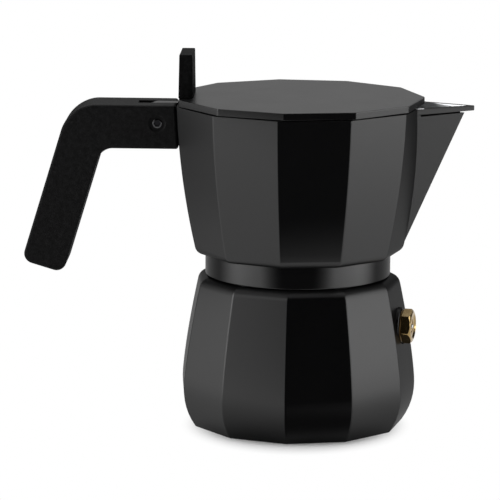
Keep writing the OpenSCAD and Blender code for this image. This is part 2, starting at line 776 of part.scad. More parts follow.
// Threaded bush moulded into the far cheek of the handle
module handle_insert() {
    color(polished_brass)
    translate([hinge_x, handle_half_w - fit_gap, hinge_z]) rotate([90, 0, 0]) difference() {
        cylinder(r = insert_r - screw_gap, h = insert_l - 2 * fit_gap);
        translate([0, 0, -past]) cylinder(r = pin_r + screw_gap, h = insert_l + 2 * past);
    }
}

// Size of the screw's socket as a share of its radius
socket_share = 0.62;
// Socket screw that is the hinge's axle and holds the handle
module hinge_screw() {
    socket_r = socket_share * pin_r;
    socket_h = 1.2;
    color(steel)
    translate([hinge_x, -handle_half_w + screw_inset, hinge_z]) rotate([-90, 0, 0]) difference() {
        cylinder(r = pin_r, h = handle_w - 2 * screw_inset);
        translate([0, 0, -past]) cylinder(r = socket_r, h = socket_h + past, $fn = 6);
    }
}

// Thin washers between the lid's eye and the ears
hinge_washer_inset = 0.5;
module hinge_washers() {
    color(grained_black)
    for (y = [-slot_half_w, slot_half_w - hinge_washer_t])
        translate([hinge_x, y, hinge_z]) rotate([-90, 0, 0]) difference() {
            cylinder(r = ear_r - hinge_washer_inset, h = hinge_washer_t);
            translate([0, 0, -past])
                cylinder(r = pin_r + screw_gap, h = hinge_washer_t + 2 * past);
        }
}

// ---------------------------------------------------------------- lid and knob

lid_back_x = -lid_r * flat_share;
seat_r = lid_r - lid_seat_inset;
rib_gap = 0.6;
rib_r = collector_cavity_r(rim_z) - rib_gap;
// Distance from the hinge within which the rib would swing into the collector's wall
rib_swing = 20;
// Length and width of the gap in the rib at the spout
rib_gap_l = 24;
rib_gap_side = 3;
rib_gap_w = 2 * (spout_half_w + rib_gap_side);
// How far the arm's block reaches under the lid, past the collector's wall
arm_block_l = 3.5;
knob_back_x = lid_back_x + knob_inset;
knob_mid_x = knob_back_x + knob_t / 2;
knob_head_r = 2.2;
knob_head_h = 1.3;
// Length of the screws and the bushes above the lid
knob_screw_l = 5;
knob_insert_wall = 0.7;
knob_insert_r = knob_screw_r + knob_insert_wall;
knob_insert_l = 7;

// Side view of the arm that carries the lid on the hinge
module arm_outline() {
    translate([hinge_x, hinge_z]) circle(r = eye_r);
    translate([hinge_x, arm_under_z]) square([back_facet_x - hinge_x, arm_h]);
    translate([back_facet_x - eps, arm_under_z])
        square([collector_wall + arm_block_l, lid_z - arm_under_z + eps]);
}

module lid() {
    color(satin_black)
    difference() {
        union() {
            facet_plate(lid_r, lid_z, lid_top);
            facet_plate(seat_r, rim_z + seat_gap, lid_z + eps);
            difference() {
                facet_plate(rib_r, rim_z - lid_rib_h, lid_z);
                facet_plate(rib_r - lid_rib_t, rim_z - lid_rib_h - past, lid_z);
                // The rib is left out across the spout's mouth and where the hinge swings it
                translate([spout_root_x - rib_gap_l / 2, -rib_gap_w / 2, rim_z - lid_rib_h - past])
                    cube([rib_gap_l, rib_gap_w, lid_rib_h + past + seat_gap]);
                translate([-2 * lid_r, -lid_r, rim_z - lid_rib_h - past])
                    cube([2 * lid_r + hinge_x + rib_swing, 2 * lid_r, lid_rib_h + past + seat_gap]);
            }
            side_slab(-arm_half_w, arm_half_w) arm_outline();
        }
        translate([hinge_x, -arm_w, hinge_z]) rotate([-90, 0, 0])
            cylinder(r = pin_r + pin_gap, h = 2 * arm_w);
        for (y = [-knob_screw_pitch / 2, knob_screw_pitch / 2])
            translate([knob_mid_x, y, 0]) {
                translate([0, 0, arm_under_z - past])
                    cylinder(r = knob_head_r + fit_gap, h = lid_z - arm_under_z + past);
                translate([0, 0, lid_z - eps])
                    cylinder(r1 = knob_head_r + fit_gap, r2 = knob_screw_r + screw_gap,
                             h = knob_head_h + eps);
                translate([0, 0, lid_z]) cylinder(r = knob_screw_r + screw_gap, h = lid_t + past);
            }
    }
}

// Upright tab, slightly thinner at its top
module knob() {
    taper = (knob_t - knob_top_t) / 2;
    color(grained_black)
    difference() {
        side_slab(-knob_w / 2, knob_w / 2) polygon([
            [knob_back_x, lid_top], [knob_back_x + knob_t, lid_top],
            [knob_back_x + knob_t - taper, lid_top + knob_h],
            [knob_back_x + taper, lid_top + knob_h]]);
        for (y = [-knob_screw_pitch / 2, knob_screw_pitch / 2])
            translate([knob_mid_x, y, lid_top - past])
                cylinder(r = knob_insert_r + screw_gap, h = knob_insert_l + past);
    }
}

// Threaded bushes moulded into the knob
module knob_inserts() {
    color(polished_brass)
    for (y = [-knob_screw_pitch / 2, knob_screw_pitch / 2])
        translate([knob_mid_x, y, lid_top + fit_gap]) difference() {
            cylinder(r = knob_insert_r, h = knob_insert_l - 2 * fit_gap);
            translate([0, 0, -past])
                cylinder(r = knob_screw_r + screw_gap, h = knob_screw_l + fit_gap + past);
        }
}

// Countersunk screws that hold the knob from under the lid
module knob_screws() {
    color(steel)
    for (y = [-knob_screw_pitch / 2, knob_screw_pitch / 2])
        translate([knob_mid_x, y, lid_z]) {
            cylinder(r1 = knob_head_r, r2 = knob_screw_r, h = knob_head_h);
            cylinder(r = knob_screw_r, h = lid_t + knob_screw_l);
        }
}

boiler();
valve_body();
valve_washer();
valve_spring();
valve_cap();
valve_pin();
funnel();
funnel_strainer();
gasket();
filter_plate();
collector();
riser_column();
handle();
handle_insert();
hinge_screw();
hinge_washers();
lid();
knob();
knob_inserts();
knob_screws();
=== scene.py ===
"""Looks of a stove-top moka pot: faceted satin-black vessels, sprung brass valve and bent grip.

Lengths in the classes are in millimetres. The bench turns them into metres, so every piece lies in
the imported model's own frame: +Z up along the pot's axis, the spout at +X, the handle at -X.
"""

import logging
import math
from dataclasses import dataclass
from enum import Enum
from typing import Callable, Optional, Sequence, Union

import bmesh
import bpy
from mathutils import Matrix, Vector


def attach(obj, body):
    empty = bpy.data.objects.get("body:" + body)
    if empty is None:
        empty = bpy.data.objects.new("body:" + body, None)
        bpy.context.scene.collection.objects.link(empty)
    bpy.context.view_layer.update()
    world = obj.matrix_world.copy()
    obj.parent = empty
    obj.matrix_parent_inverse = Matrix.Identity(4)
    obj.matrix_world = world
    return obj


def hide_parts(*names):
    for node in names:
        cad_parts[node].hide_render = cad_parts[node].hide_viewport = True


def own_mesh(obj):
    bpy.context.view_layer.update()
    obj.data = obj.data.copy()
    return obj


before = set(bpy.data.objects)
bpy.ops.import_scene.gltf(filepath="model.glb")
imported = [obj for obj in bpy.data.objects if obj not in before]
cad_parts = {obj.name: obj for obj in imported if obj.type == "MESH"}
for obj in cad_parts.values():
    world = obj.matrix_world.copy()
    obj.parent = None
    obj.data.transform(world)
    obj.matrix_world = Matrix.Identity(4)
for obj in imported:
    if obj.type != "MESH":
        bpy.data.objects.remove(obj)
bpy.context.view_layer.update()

MM = 0.001
log = logging.getLogger("moka_pot")

Solid = bpy.types.Object
Finish = bpy.types.Material
Point = tuple[float, float]
Profile = Sequence[Point]
Corner = tuple[float, float, float]
Colour = tuple[float, float, float]
Value = Union["Wire", float]
EdgeRule = Callable[[Vector, Vector, float], bool]
Side = Callable[[float], float]


# ---------------------------------------------------------------- shared arithmetic


def arc(x: float, z: float, radius: float, start: float, end: float, count: int) -> list[Point]:
    """Points of an arc in a side view.

    Args:
        x: Centre across.
        z: Centre height.
        radius: Radius of the arc.
        start: First angle, in degrees.
        end: Last angle, in degrees.
        count: Number of chords.

    Returns:
        The points from the first angle to the last.
    """
    turns = [math.radians(turn) for turn in steps(start, end, count)]
    return [(x + radius * math.cos(a), z + radius * math.sin(a)) for a in turns]


def steps(start: float, end: float, count: int) -> list[float]:
    """Evenly spaced values, both ends included."""
    return [start + (end - start) * i / count for i in range(count + 1)]


def round_into(side: Side, z: float, radius: float) -> tuple[float, float, float]:
    """Finds the round that runs into a sloping side.

    Args:
        side: Radius of the side at a height.
        z: Height of the round's centre.
        radius: Radius of the round.

    Returns:
        Its centre's distance from the axis, the height at which it meets the side, and the side's
        lean in degrees, positive when it faces up.
    """
    reach = 0.05
    lean = math.atan((side(z - reach) - side(z + reach)) / (2 * reach))
    meet = z + radius * math.sin(lean)
    return side(meet) - radius * math.cos(lean), meet, math.degrees(lean)


def across(x: float, z: float) -> Matrix:
    """Matrix that carries a shape on the pot's axis onto a level axis, its top towards -Y."""
    return Matrix.Translation(Vector((x, 0, z)) * MM) @ Matrix.Rotation(math.radians(90), 4, "X")


# ---------------------------------------------------------------- bench


class Join(Enum):
    """How one closed shape is put together with another."""

    WELD = "UNION"
    CARVE = "DIFFERENCE"
    KEEP_COMMON = "INTERSECT"


class Pick(Enum):
    """What edit mode selects."""

    CORNERS = "VERT"
    EDGES = "EDGE"
    FACES = "FACE"


class Bench:
    """Hand moves that all sub-assemblies share. Lengths are in millimetres."""

    merge_gap = 1e-7
    merge_gap_packed = 1e-6

    @staticmethod
    def take(obj: Solid) -> None:
        """Makes one object the only selected one, and active.

        Args:
            obj: The object.
        """
        bpy.ops.object.select_all(action="DESELECT")
        obj.select_set(True)
        bpy.context.view_layer.objects.active = obj

    @staticmethod
    def named(name: str) -> Solid:
        """Names the object that was just added, and settles its place in its mesh.

        Args:
            name: Name of the piece.

        Returns:
            The object.
        """
        obj = bpy.context.object
        obj.name = name
        obj.data.name = name
        bpy.ops.object.transform_apply(location=True, rotation=True, scale=True)
        return obj

    @classmethod
    def edit(cls, obj: Solid, what: Pick = Pick.EDGES, every: bool = False) -> None:
        """Opens an object in edit mode.

        Args:
            obj: The object.
            what: What is selected.
            every: Whether all of it is selected; otherwise nothing is.
        """
        cls.take(obj)
        bpy.ops.object.mode_set(mode="EDIT")
        bpy.ops.mesh.select_mode(type=what.value)
        bpy.ops.mesh.select_all(action="SELECT" if every else "DESELECT")

    @classmethod
    def close(cls, merge: bool = False, fill: bool = False, orient: bool = True) -> None:
        """Leaves edit mode.

        Args:
            merge: Whether points that fall together are merged.
            fill: Whether open ends are filled.
            orient: Whether all faces are turned outwards.
        """
        bpy.ops.mesh.select_all(action="SELECT")
        if merge:
            bpy.ops.mesh.remove_doubles(threshold=cls.merge_gap)
        if fill:
            bpy.ops.mesh.fill_holes(sides=0)
        if orient:
            bpy.ops.mesh.select_all(action="SELECT")
            bpy.ops.mesh.normals_make_consistent(inside=False)
        bpy.ops.object.mode_set(mode="OBJECT")

    @staticmethod
    def pick(obj: Solid, rule: Callable[[bmesh.types.BMVert], bool]) -> list[Vector]:
        """Selects the vertices that a rule picks, in edit mode.

        Args:
            obj: The object.
            rule: Takes a vertex.

        Returns:
            The places of the picked vertices, in metres.
        """
        mesh = bmesh.from_edit_mesh(obj.data)
        for vert in mesh.verts:
            vert.select = rule(vert)
        mesh.select_flush_mode()
        places = [vert.co.copy() for vert in mesh.verts if vert.select]
        bmesh.update_edit_mesh(obj.data)
        return places

    @classmethod
    def turned(
        cls, name: str, profile: Profile, corners: int = 96, turn: float = 0.0, ring: bool = False
    ) -> Solid:
        """A turned or faceted shape: one ring of edges, extruded and resized along a profile.

        Args:
            name: Name of the piece.
            profile: Radii and heights.
            corners: Number of corners of each ring; the first lies at +X.
            turn: Turn of the first corner from +X, in degrees.
            ring: Whether the profile closes on itself; otherwise both ends are filled.

        Returns:
            The closed shape.
        """
        bpy.ops.object.select_all(action="DESELECT")
        radius, height = profile[0]
        bpy.ops.mesh.primitive_circle_add(
            vertices=corners,
            radius=radius * MM,
            location=(0, 0, height * MM),
            rotation=(0, 0, math.radians(turn) - math.pi / 2),
        )
        obj = cls.named(name)
        cls.edit(obj, every=True)
        for next_radius, next_height in list(profile[1:]) + ([profile[0]] if ring else []):
            rise = (next_height - height) * MM
            bpy.ops.mesh.extrude_region_move(TRANSFORM_OT_translate={"value": (0, 0, rise)})
            share = next_radius / radius
            bpy.ops.transform.resize(value=(share, share, 1), center_override=(0, 0, 0))
            radius, height = next_radius, next_height
        cls.close(merge=True, fill=not ring)
        return obj

    @classmethod
    def rod(cls, name: str, radius: float, low: float, high: float, corners: int = 96) -> Solid:
        """A straight bar on the pot's axis."""
        return cls.turned(name, [(radius, low), (radius, high)], corners)

    @classmethod
    def outline(cls, name: str, corners: Sequence[Corner]) -> Solid:
        """A flat outline: a ring with as many corners, each moved to its place.

        Args:
            name: Name of the piece.
            corners: The corners in order.

        Returns:
            The flat shape.
        """
        bpy.ops.object.select_all(action="DESELECT")
        bpy.ops.mesh.primitive_circle_add(vertices=len(corners), radius=MM, fill_type="NGON")
        obj = cls.named(name)
        cls.edit(obj, Pick.CORNERS)
        for index, corner in enumerate(corners):
            (start,) = cls.pick(obj, lambda vert: vert.index == index)
            bpy.ops.transform.translate(value=Vector(corner) * MM - start)
        cls.close(orient=False)
        return obj

    @classmethod
    def slab(cls, name: str, corners: Sequence[Corner], push: Corner) -> Solid:
        """An outline extruded into a solid.

        Args:
            name: Name of the piece.
            corners: The corners in order.
            push: The extrusion.

        Returns:
            The closed solid.
        """
        obj = cls.outline(name, corners)
        cls.edit(obj, Pick.FACES, True)
        bpy.ops.mesh.extrude_region_move(TRANSFORM_OT_translate={"value": Vector(push) * MM})
        cls.close(fill=True)
        return obj

    @classmethod
    def block(cls, name: str, low: Corner, high: Corner) -> Solid:
        """A block between two corners, for cuts.

        Args:
            name: Name of the block.
            low: Lowest corner.
            high: Highest corner.

        Returns:
            The block.
        """
        bpy.ops.object.select_all(action="DESELECT")
        middle = [(a + b) / 2 * MM for a, b in zip(low, high)]
        size = [(b - a) * MM for a, b in zip(low, high)]
        bpy.ops.mesh.primitive_cube_add(size=1, location=middle, scale=size)
        return cls.named(name)

    @classmethod
    def wind(
        cls, name: str, section: Sequence[Corner], pitch: float, turns: int, chords: int
    ) -> Solid:
        """Winds a flat section round the pot's axis.

        Args:
            name: Name of the piece.
            section: Corners of the section, in order.
            pitch: Rise of each turn.
            turns: Number of turns.
            chords: Number of chords of each turn.

        Returns:
            The closed coil.
        """
        coil = cls.outline(name, section)
        winding = {"iterations": turns, "steps": chords, "render_steps": chords, "axis": "Z"}
        cls.apply(coil, "SCREW", screw_offset=pitch * MM, use_normal_calculate=True, **winding)
        cls.edit(coil, every=True)
        cls.close(merge=True, fill=True)
        return coil

    @classmethod
    def round_edges(cls, obj: Solid, width: float, rule: EdgeRule, count: int = 3) -> None:
        """Rounds the edges that a rule picks.

        Args:
            obj: The object.
            width: Distance from the old edge to the new ones.
            rule: Takes both ends of an edge, in millimetres, and the angle between its faces.
            count: Number of facets across the rounding.
        """
        cls.edit(obj)
        mesh = bmesh.from_edit_mesh(obj.data)
        for edge in mesh.edges:
            ends = [v.co / MM for v in edge.verts]
            edge.select_set(rule(ends[0], ends[1], math.degrees(edge.calc_face_angle(0.0))))
        mesh.select_flush_mode()
        bmesh.update_edit_mesh(obj.data)
        shape = {"offset_type": "OFFSET", "profile": 0.5, "affect": "EDGES"}
        bpy.ops.mesh.bevel(offset=width * MM, segments=count, clamp_overlap=True, **shape)
        cls.close()

    @classmethod
    def place(cls, obj: Solid, matrix: Matrix) -> Solid:
        """Moves a shape that was made on the pot's axis, and settles its place in its mesh.

        Args:
            obj: The object.
            matrix: The move, in metres.

        Returns:
            The same object.
        """
        cls.take(obj)
        obj.matrix_world = matrix
        bpy.ops.object.transform_apply(location=True, rotation=True, scale=True)
        return obj

    @classmethod
    def apply(cls, obj: Solid, kind: str, **settings: object) -> None:
        """Adds a modifier to a shape and applies it.

        Args:
            obj: The shape.
            kind: Type of the modifier.
            settings: Its properties.
        """
        cls.take(obj)
        modifier = obj.modifiers.new(kind.lower(), kind)
        for key, value in settings.items():
            setattr(modifier, key, value)
        bpy.ops.object.modifier_apply(modifier=modifier.name)

    @classmethod
    def join(cls, target: Solid, how: Join, *others: Solid) -> Solid:
        """Welds other shapes to a target, or carves them out of it.

        Args:
            target: The shape that stays.
            how: How the shapes go together.
            others: The shapes that are used up.

        Returns:
            The target.
        """
        settings = {"operation": how.value, "solver": "EXACT", "material_mode": "TRANSFER"}
        for other in others:
            cls.apply(target, "BOOLEAN", object=other, **settings)
            bpy.data.objects.remove(other)
        return target

    @classmethod
    def carve(cls, target: Solid, *cuts: tuple[Solid, Finish]) -> Solid:
        """Carves shapes out of a target; each leaves its own finish on what it cuts.

        Args:
            target: The shape that stays.
            cuts: The shapes that are used up, with their finishes.

        Returns:
            The target.
        """
        for cutter, material in cuts:
            cls.join(target, Join.CARVE, cls.coat(cutter, material))
        return target

    @classmethod
    def soften(cls, obj: Solid, width: float, count: int, angle: float) -> Solid:
        """Breaks every edge sharper than an angle.

        Args:
            obj: The object.
            width: Width of the broken edge.
            count: Number of facets across it.
            angle: Least angle between the faces, in degrees.

        Returns:
            The same object.
        """
        limit = math.radians(angle)
        cls.apply(
            obj, "BEVEL", width=width * MM, segments=count, limit_method="ANGLE", angle_limit=limit
        )
        return obj

    @classmethod
    def smooth(cls, obj: Solid, angle: float = 24.0) -> Solid:
        """Shades a finished shape smooth up to an angle, with flat faces kept flat.

        Args:
            obj: The object.
            angle: Angle from which an edge stays sharp, in degrees.

        Returns:
            The same object.
        """
        cls.take(obj)
        bpy.ops.object.shade_smooth_by_angle(angle=math.radians(angle))
        cls.apply(obj, "WEIGHTED_NORMAL", mode="FACE_AREA", weight=50, keep_sharp=True)
        return obj

    @staticmethod
    def coat(obj: Solid, material: Finish) -> Solid:
        """Gives a whole shape one finish.

        Args:
            obj: The object.
            material: The finish.

        Returns:
            The same object.
        """
        obj.data.materials.clear()
        obj.data.materials.append(material)
        return obj

    @classmethod
    def dress(
        cls, obj: Solid, material: Finish, angle: float = 24.0, matrix: Optional[Matrix] = None
    ) -> Solid:
        """Places a shape if it has to move, coats it and shades it.

        Args:
            obj: The object.
            material: The finish.
            angle: Angle from which an edge stays sharp, in degrees.
            matrix: The move, in metres.

        Returns:
            The finished object.
        """
        if matrix is not None:
            cls.place(obj, matrix)
        return cls.smooth(cls.coat(obj, material), angle)

    @classmethod
    def copy_of(cls, node: str, name: str) -> Solid:
        """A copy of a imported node's mesh, with its loose triangles merged.

        Args:
            node: Name of the node.
            name: Name of the piece.

        Returns:
            The copy.
        """
        obj = bpy.data.objects.new(name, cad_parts[node].data.copy())
        obj.data.name = name
        bpy.context.scene.collection.objects.link(obj)
        cls.edit(obj, Pick.CORNERS, True)
        bpy.ops.mesh.remove_doubles(threshold=cls.merge_gap_packed)
        cls.close(orient=False)
        return obj


def fit(obj: Solid, body: str, slot: str, *nodes: str) -> None:
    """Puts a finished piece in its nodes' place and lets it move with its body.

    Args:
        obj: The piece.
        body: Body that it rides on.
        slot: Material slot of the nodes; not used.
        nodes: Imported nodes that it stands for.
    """
    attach(obj, body)
    if nodes:
        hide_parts(*nodes)
    log.info("%s: %d faces, rides on %s", obj.name, len(obj.data.polygons), body)


# ---------------------------------------------------------------- finishes


class Wire:
    """One output socket of a node tree, with arithmetic on it."""

    def __init__(self, graph: "Tree", socket: bpy.types.NodeSocket) -> None:
        """Keeps the output socket and the tree it belongs to."""
        self.graph = graph
        self.socket = socket

    def _math(self, operation: str, first: Value, second: Value) -> "Wire":
        """One Math node on two values."""
        return self.graph.add("ShaderNodeMath", {"operation": operation}, {0: first, 1: second})

    def __add__(self, other: Value) -> "Wire":
        """Sum."""
        return self._math("ADD", self, other)

    def __radd__(self, other: float) -> "Wire":
        """Sum with a plain number first."""
        return self._math("ADD", other, self)

    def __sub__(self, other: Value) -> "Wire":
        """Difference."""
        return self._math("SUBTRACT", self, other)

    def __rsub__(self, other: float) -> "Wire":
        """Difference from a plain number."""
        return self._math("SUBTRACT", other, self)

    def __mul__(self, other: Value) -> "Wire":
        """Product."""
        return self._math("MULTIPLY", self, other)

    def __rmul__(self, other: float) -> "Wire":
        """Product with a plain number first."""
        return self._math("MULTIPLY", other, self)

    def most(self, other: Value) -> "Wire":
        """The larger of two values."""
        return self._math("MAXIMUM", self, other)

    def root(self) -> "Wire":
        """Square root."""
        return self._math("SQRT", self, 0.0)

    def span(self, low: float, high: float, first: float = 0.0, last: float = 1.0) -> "Wire":
        """Smooth step between two values.

        Args:
            low: Value at which it starts.
            high: Value at which it ends.
            first: Result at the start.
            last: Result at the end.

        Returns:
            The step.
        """
        limits = {"From Min": low, "From Max": high, "To Min": first, "To Max": last}
        return self.graph.add(
            "ShaderNodeMapRange", {"interpolation_type": "SMOOTHSTEP"}, {"Value": self, **limits}
        )


class Tree:
    """Node tree that is put together from wires."""

    def __init__(self, tree: bpy.types.NodeTree) -> None:
        """Keeps the tree."""
        self.tree = tree

    def node(
        self, kind: str, settings: Optional[dict] = None, inputs: Optional[dict] = None
    ) -> bpy.types.Node:
        """Adds a node.

        Args:
            kind: Type of the node.
            settings: Its properties.
            inputs: Values or wires by input name or number.

        Returns:
            The node.
        """
        node = self.tree.nodes.new(kind)
        for key, value in (settings or {}).items():
            setattr(node, key, value)
        for key, value in (inputs or {}).items():
            self.feed(node.inputs[key], value)
        return node

    def feed(self, socket: bpy.types.NodeSocket, value: object) -> None:
        """Sets an input, or links a wire or a socket to it.

        Args:
            socket: The input.
            value: Number, tuple, wire or output socket.
        """
        if isinstance(value, Wire):
            value = value.socket
        if isinstance(value, bpy.types.NodeSocket):
            self.tree.links.new(value, socket)
        else:
            socket.default_value = value

    def add(
        self, kind: str, settings: Optional[dict], inputs: dict, out: Union[int, str] = 0
    ) -> Wire:
        """Adds a node and takes one of its outputs.

        Args:
            kind: Type of the node.
            settings: Its properties.
            inputs: Values or wires by input name or number.
            out: Name or number of the output.

        Returns:
            The output.
        """
        return Wire(self, self.node(kind, settings, inputs).outputs[out])

    def parts(self, vector: object) -> list[Wire]:
        """Splits a vector into its X, Y and Z."""
        node = self.node("ShaderNodeSeparateXYZ", None, {0: vector})
        return [Wire(self, output) for output in node.outputs]


class Graph(Tree):
    """Node tree of one material around one Principled shader."""

    def __init__(self, name: str) -> None:
        """Starts the material.

        Args:
            name: Name of the material.
        """
        self.material = bpy.data.materials.new(name)
        self.material.use_nodes = True
        super().__init__(self.material.node_tree)
        self.shader = self.tree.nodes["Principled BSDF"]
        self.place = self.node("ShaderNodeTexCoord").outputs["Object"]

    def noise(self, size: float, detail: float, stretch: Corner = (1, 1, 1)) -> Wire:
        """Noise with features of a real size.

        Args:
            size: Size of a feature, in millimetres.
            detail: Number of finer layers.
            stretch: Scale of the pattern along X, Y and Z.

        Returns:
            Noise between 0 and 1.
        """
        mapped = self.add("ShaderNodeMapping", None, {"Vector": self.place, "Scale": stretch})
        marks = {"Vector": mapped, "Scale": 1 / (size * MM), "Detail": detail}
        return self.add("ShaderNodeTexNoise", None, marks, "Fac")

    def facing(self) -> Wire:
        """How far the surface turns away from the eye, from 0 to 1."""
        return self.add("ShaderNodeLayerWeight", None, {"Blend": 0.5}, "Facing")

    def blend(self, share: Value, first: Colour, second: Colour) -> Wire:
        """Mixes two colours.

        Args:
            share: Share of the second colour.
            first: First colour.
            second: Second colour.

        Returns:
            The colour.
        """
        colours = {6: (*first, 1.0), 7: (*second, 1.0)}
        return self.add("ShaderNodeMix", {"data_type": "RGBA"}, {0: share, **colours}, 2)

    def relief(self, height: Wire, depth: float, strength: float = 1.0) -> Wire:
        """Turns heights into a bumped normal.

        Args:
            height: Height between 0 and 1.
            depth: Real depth, in millimetres.
            strength: Strength of the bump.

        Returns:
            The normal.
        """
        settings = {"Height": height, "Distance": depth * MM, "Strength": strength}
        return self.add("ShaderNodeBump", None, settings, "Normal")

    def set(self, **values: object) -> Finish:
        """Sets inputs of the shader, with underscores for the spaces in their names.

        Args:
            values: Numbers or wires.

        Returns:
            The material.
        """
        for key, value in values.items():
            self.feed(self.shader.inputs[key.replace("_", " ")], value)
        return self.material

    def mix(self, share: Wire, first: object, second: object) -> Finish:
        """Shows a mix of two shaders.

        Args:
            share: Share of the second one.
            first: Output of the first one.
            second: Output of the second one.

        Returns:
            The material.
        """
        mixed = self.add("ShaderNodeMixShader", None, {0: share, 1: first, 2: second})
        self.feed(self.tree.nodes["Material Output"].inputs["Surface"], mixed)
        return self.material

    def two_shaders(self, look: dict[str, Wire], dull: float, gloss: float, share: Wire) -> Finish:
        """Mixes a dull and a glossy shader that are alike in all else.

        Args:
            look: Inputs that both shaders share.
            dull: Specular level of the dull one.
            gloss: Specular level of the glossy one.
            share: Share of the glossy one.

        Returns:
            The material.
        """
        glossy = self.node("ShaderNodeBsdfPrincipled", None, look)
        for key, wire in look.items():
            self.feed(self.shader.inputs[key], wire)
        self.shader.inputs["Specular IOR Level"].default_value = dull
        glossy.inputs["Specular IOR Level"].default_value = gloss
        return self.mix(share, self.shader.outputs[0], glossy.outputs[0])


@dataclass(frozen=True)
class SatinCoat:
    """Satin black coating, sprayed on blasted cast aluminium."""

    name: str
    dark: Colour = (0.0016, 0.0016, 0.0017)
    light: Colour = (0.0032, 0.0032, 0.0034)
    roughness: float = 0.33
    spread: float = 0.07
    cloud: float = 14.0
    grain: float = 0.55
    speck: float = 0.22
    speck_share: tuple[float, float] = (0.62, 0.74)
    speck_rough: float = 0.05
    depth: float = 0.006
    dull: float = 0.018
    gloss: float = 0.5
    gloss_from: float = 0.062
    gloss_to: float = 0.135
    fade_from: float = 0.35
    fade_to: float = 0.72
    far_gloss: float = 0.12
    foot_h: float = 0.0
    foot_facing: float = 0.2
    foot_gloss: float = 0.25
    foot_reach: float = 1.3

    def material(self) -> Finish:
        """Builds the coating: soft clouds, a fine orange peel and a few duller specks.

        The face turned to the eye stays deep black, and the gloss comes up as it turns away. Near
        the foot, if one is given, the gloss is cut back as painted shade for the floor's contact
        shadow.

        Returns:
            The material.
        """
        g = Graph(self.name)
        peel = g.noise(self.grain, 3.0)
        specks = g.noise(self.speck, 1.0).span(*self.speck_share)
        tone = g.noise(self.cloud, 3.0) * 0.55 + peel * 0.45
        facing = g.facing()
        smoothest = self.roughness - self.spread / 2
        look = {
            "Base Color": g.blend(tone, self.dark, self.light),
            "Roughness": tone * self.spread + specks * self.speck_rough + smoothest,
            "Normal": g.relief(peel + specks * 0.25, self.depth),
        }
        # Painted shade: near the foot the gloss is cut back, standing in for the floor's contact
        # shadow seen in the coat.
        if self.foot_h > 0:
            height = g.parts(g.place)[2]
            foot = self.foot_h * MM
            facing = facing - (1.0 - height.span(0.0, foot)) * self.foot_facing
        share = facing.span(self.gloss_from, self.gloss_to)
        if self.foot_h > 0:
            share = share * height.span(0.0, self.foot_reach * foot, self.foot_gloss)
        share = share * (1.0 - facing.span(self.fade_from, self.fade_to) * (1.0 - self.far_gloss))
        return g.two_shaders(look, self.dull, self.gloss, share)


@dataclass(frozen=True)
class GrainedPlastic:
    """Moulded heat-proof plastic with a fine matt grain."""

    name: str
    dark: Colour = (0.0006, 0.0006, 0.0006)
    light: Colour = (0.0085, 0.0085, 0.0088)
    roughness: float = 0.55
    grain: float = 0.42
    fine_share: float = 0.45
    cloud: float = 1.9
    depth: float = 0.05
    gloss: float = 0.085
    fade_from: float = 0.84
    far_gloss: float = 0.3

    def material(self) -> Finish:
        """Builds the grain: pebbles of two sizes, with painted shade darkening the hollows.

        Returns:
            The material.
        """
        g = Graph(self.name)
        spots = {"Vector": g.place, "Scale": 1 / (self.grain * MM), "Randomness": 1.0}
        pebbles = g.add("ShaderNodeTexVoronoi", {"feature": "F1"}, spots, "Distance")
        fine = g.noise(self.grain * self.fine_share, 2.0)
        clouds = g.noise(self.cloud, 3.0).span(0.33, 0.72)
        height = (1.0 - pebbles.span(0.1, 0.8)) * 0.6 + fine * 0.4
        look = {
            # Colour mixes random clouds with painted shade that darkens the grain's hollows.
            "Base Color": g.blend(height * 0.5 + clouds * 0.5, self.dark, self.light),
            "Roughness": (1.0 - height) * 0.12 + clouds * 0.05 + (self.roughness - 0.06),
            "Normal": g.relief(height, self.depth, 0.5),
        }
        share = 1.0 - g.facing().span(self.fade_from, 1.0) * (1.0 - self.far_gloss)
        return g.two_shaders(look, 0.0, self.gloss, share)


@dataclass(frozen=True)
class BareAlloy:
    """Bare aluminium, cast or spun, with rings left by the lathe around the pot's axis."""

    name: str
    dark: Colour = (0.60, 0.61, 0.62)
    light: Colour = (0.80, 0.81, 0.82)
    roughness: float = 0.30
    rings: float = 0.35
    ring_depth: float = 0.004
    cast: float = 0.0
    cast_depth: float = 0.03
    pit: float = 0.5
    bloom: float = 11.0

    def material(self) -> Finish:
        """Builds the metal: lathe rings, cast pits and a cloudy oxide bloom.

        Returns:
            The material.
        """
        g = Graph(self.name)
        x, y, z = g.parts(g.place)
        rings = 1 / (self.rings * MM)
        line = g.add(
            "ShaderNodeCombineXYZ", None, {0: (x * x + y * y).root() * rings, 1: z * rings}
        )
        marks = {"Vector": line, "Scale": 1.0, "Detail": 3.0}
        lathe = g.add("ShaderNodeTexNoise", None, marks, "Fac")
        pits = g.noise(self.pit, 2.0).span(0.35, 0.8)
        bloom = g.noise(self.bloom, 3.0)
        grain = lathe * (1.0 - self.cast) + pits * self.cast
        return g.set(
            Base_Color=g.blend(bloom * 0.6 + grain * 0.4, self.dark, self.light),
            Metallic=1.0,
            Roughness=bloom * 0.10 + grain * 0.12 + (self.roughness - 0.11),
            Normal=g.relief(grain, self.ring_depth + self.cast * self.cast_depth),
        )


@dataclass(frozen=True)
class TurnedBrass:
    """Polished brass with faint tool marks."""

    name: str
    dark: Colour = (0.30, 0.18, 0.045)
    light: Colour = (0.66, 0.46, 0.18)
    roughness: float = 0.14
    cloud: float = 3.5
    scratch: float = 0.5
    depth: float = 0.003

    def material(self) -> Finish:
        """Builds the brass: warm clouds of tarnish and fine scratches.

        Returns:
            The material.
        """
        g = Graph(self.name)
        clouds = g.noise(self.cloud, 3.0)
        scratches = g.noise(self.scratch, 2.0, (1.0, 1.0, 9.0)).span(0.5, 0.75)
        return g.set(
            Base_Color=g.blend(clouds, self.dark, self.light),
            Metallic=1.0,
            Roughness=clouds * 0.10 + scratches * 0.08 + (self.roughness - 0.06),
            Normal=g.relief(scratches, self.depth),
        )


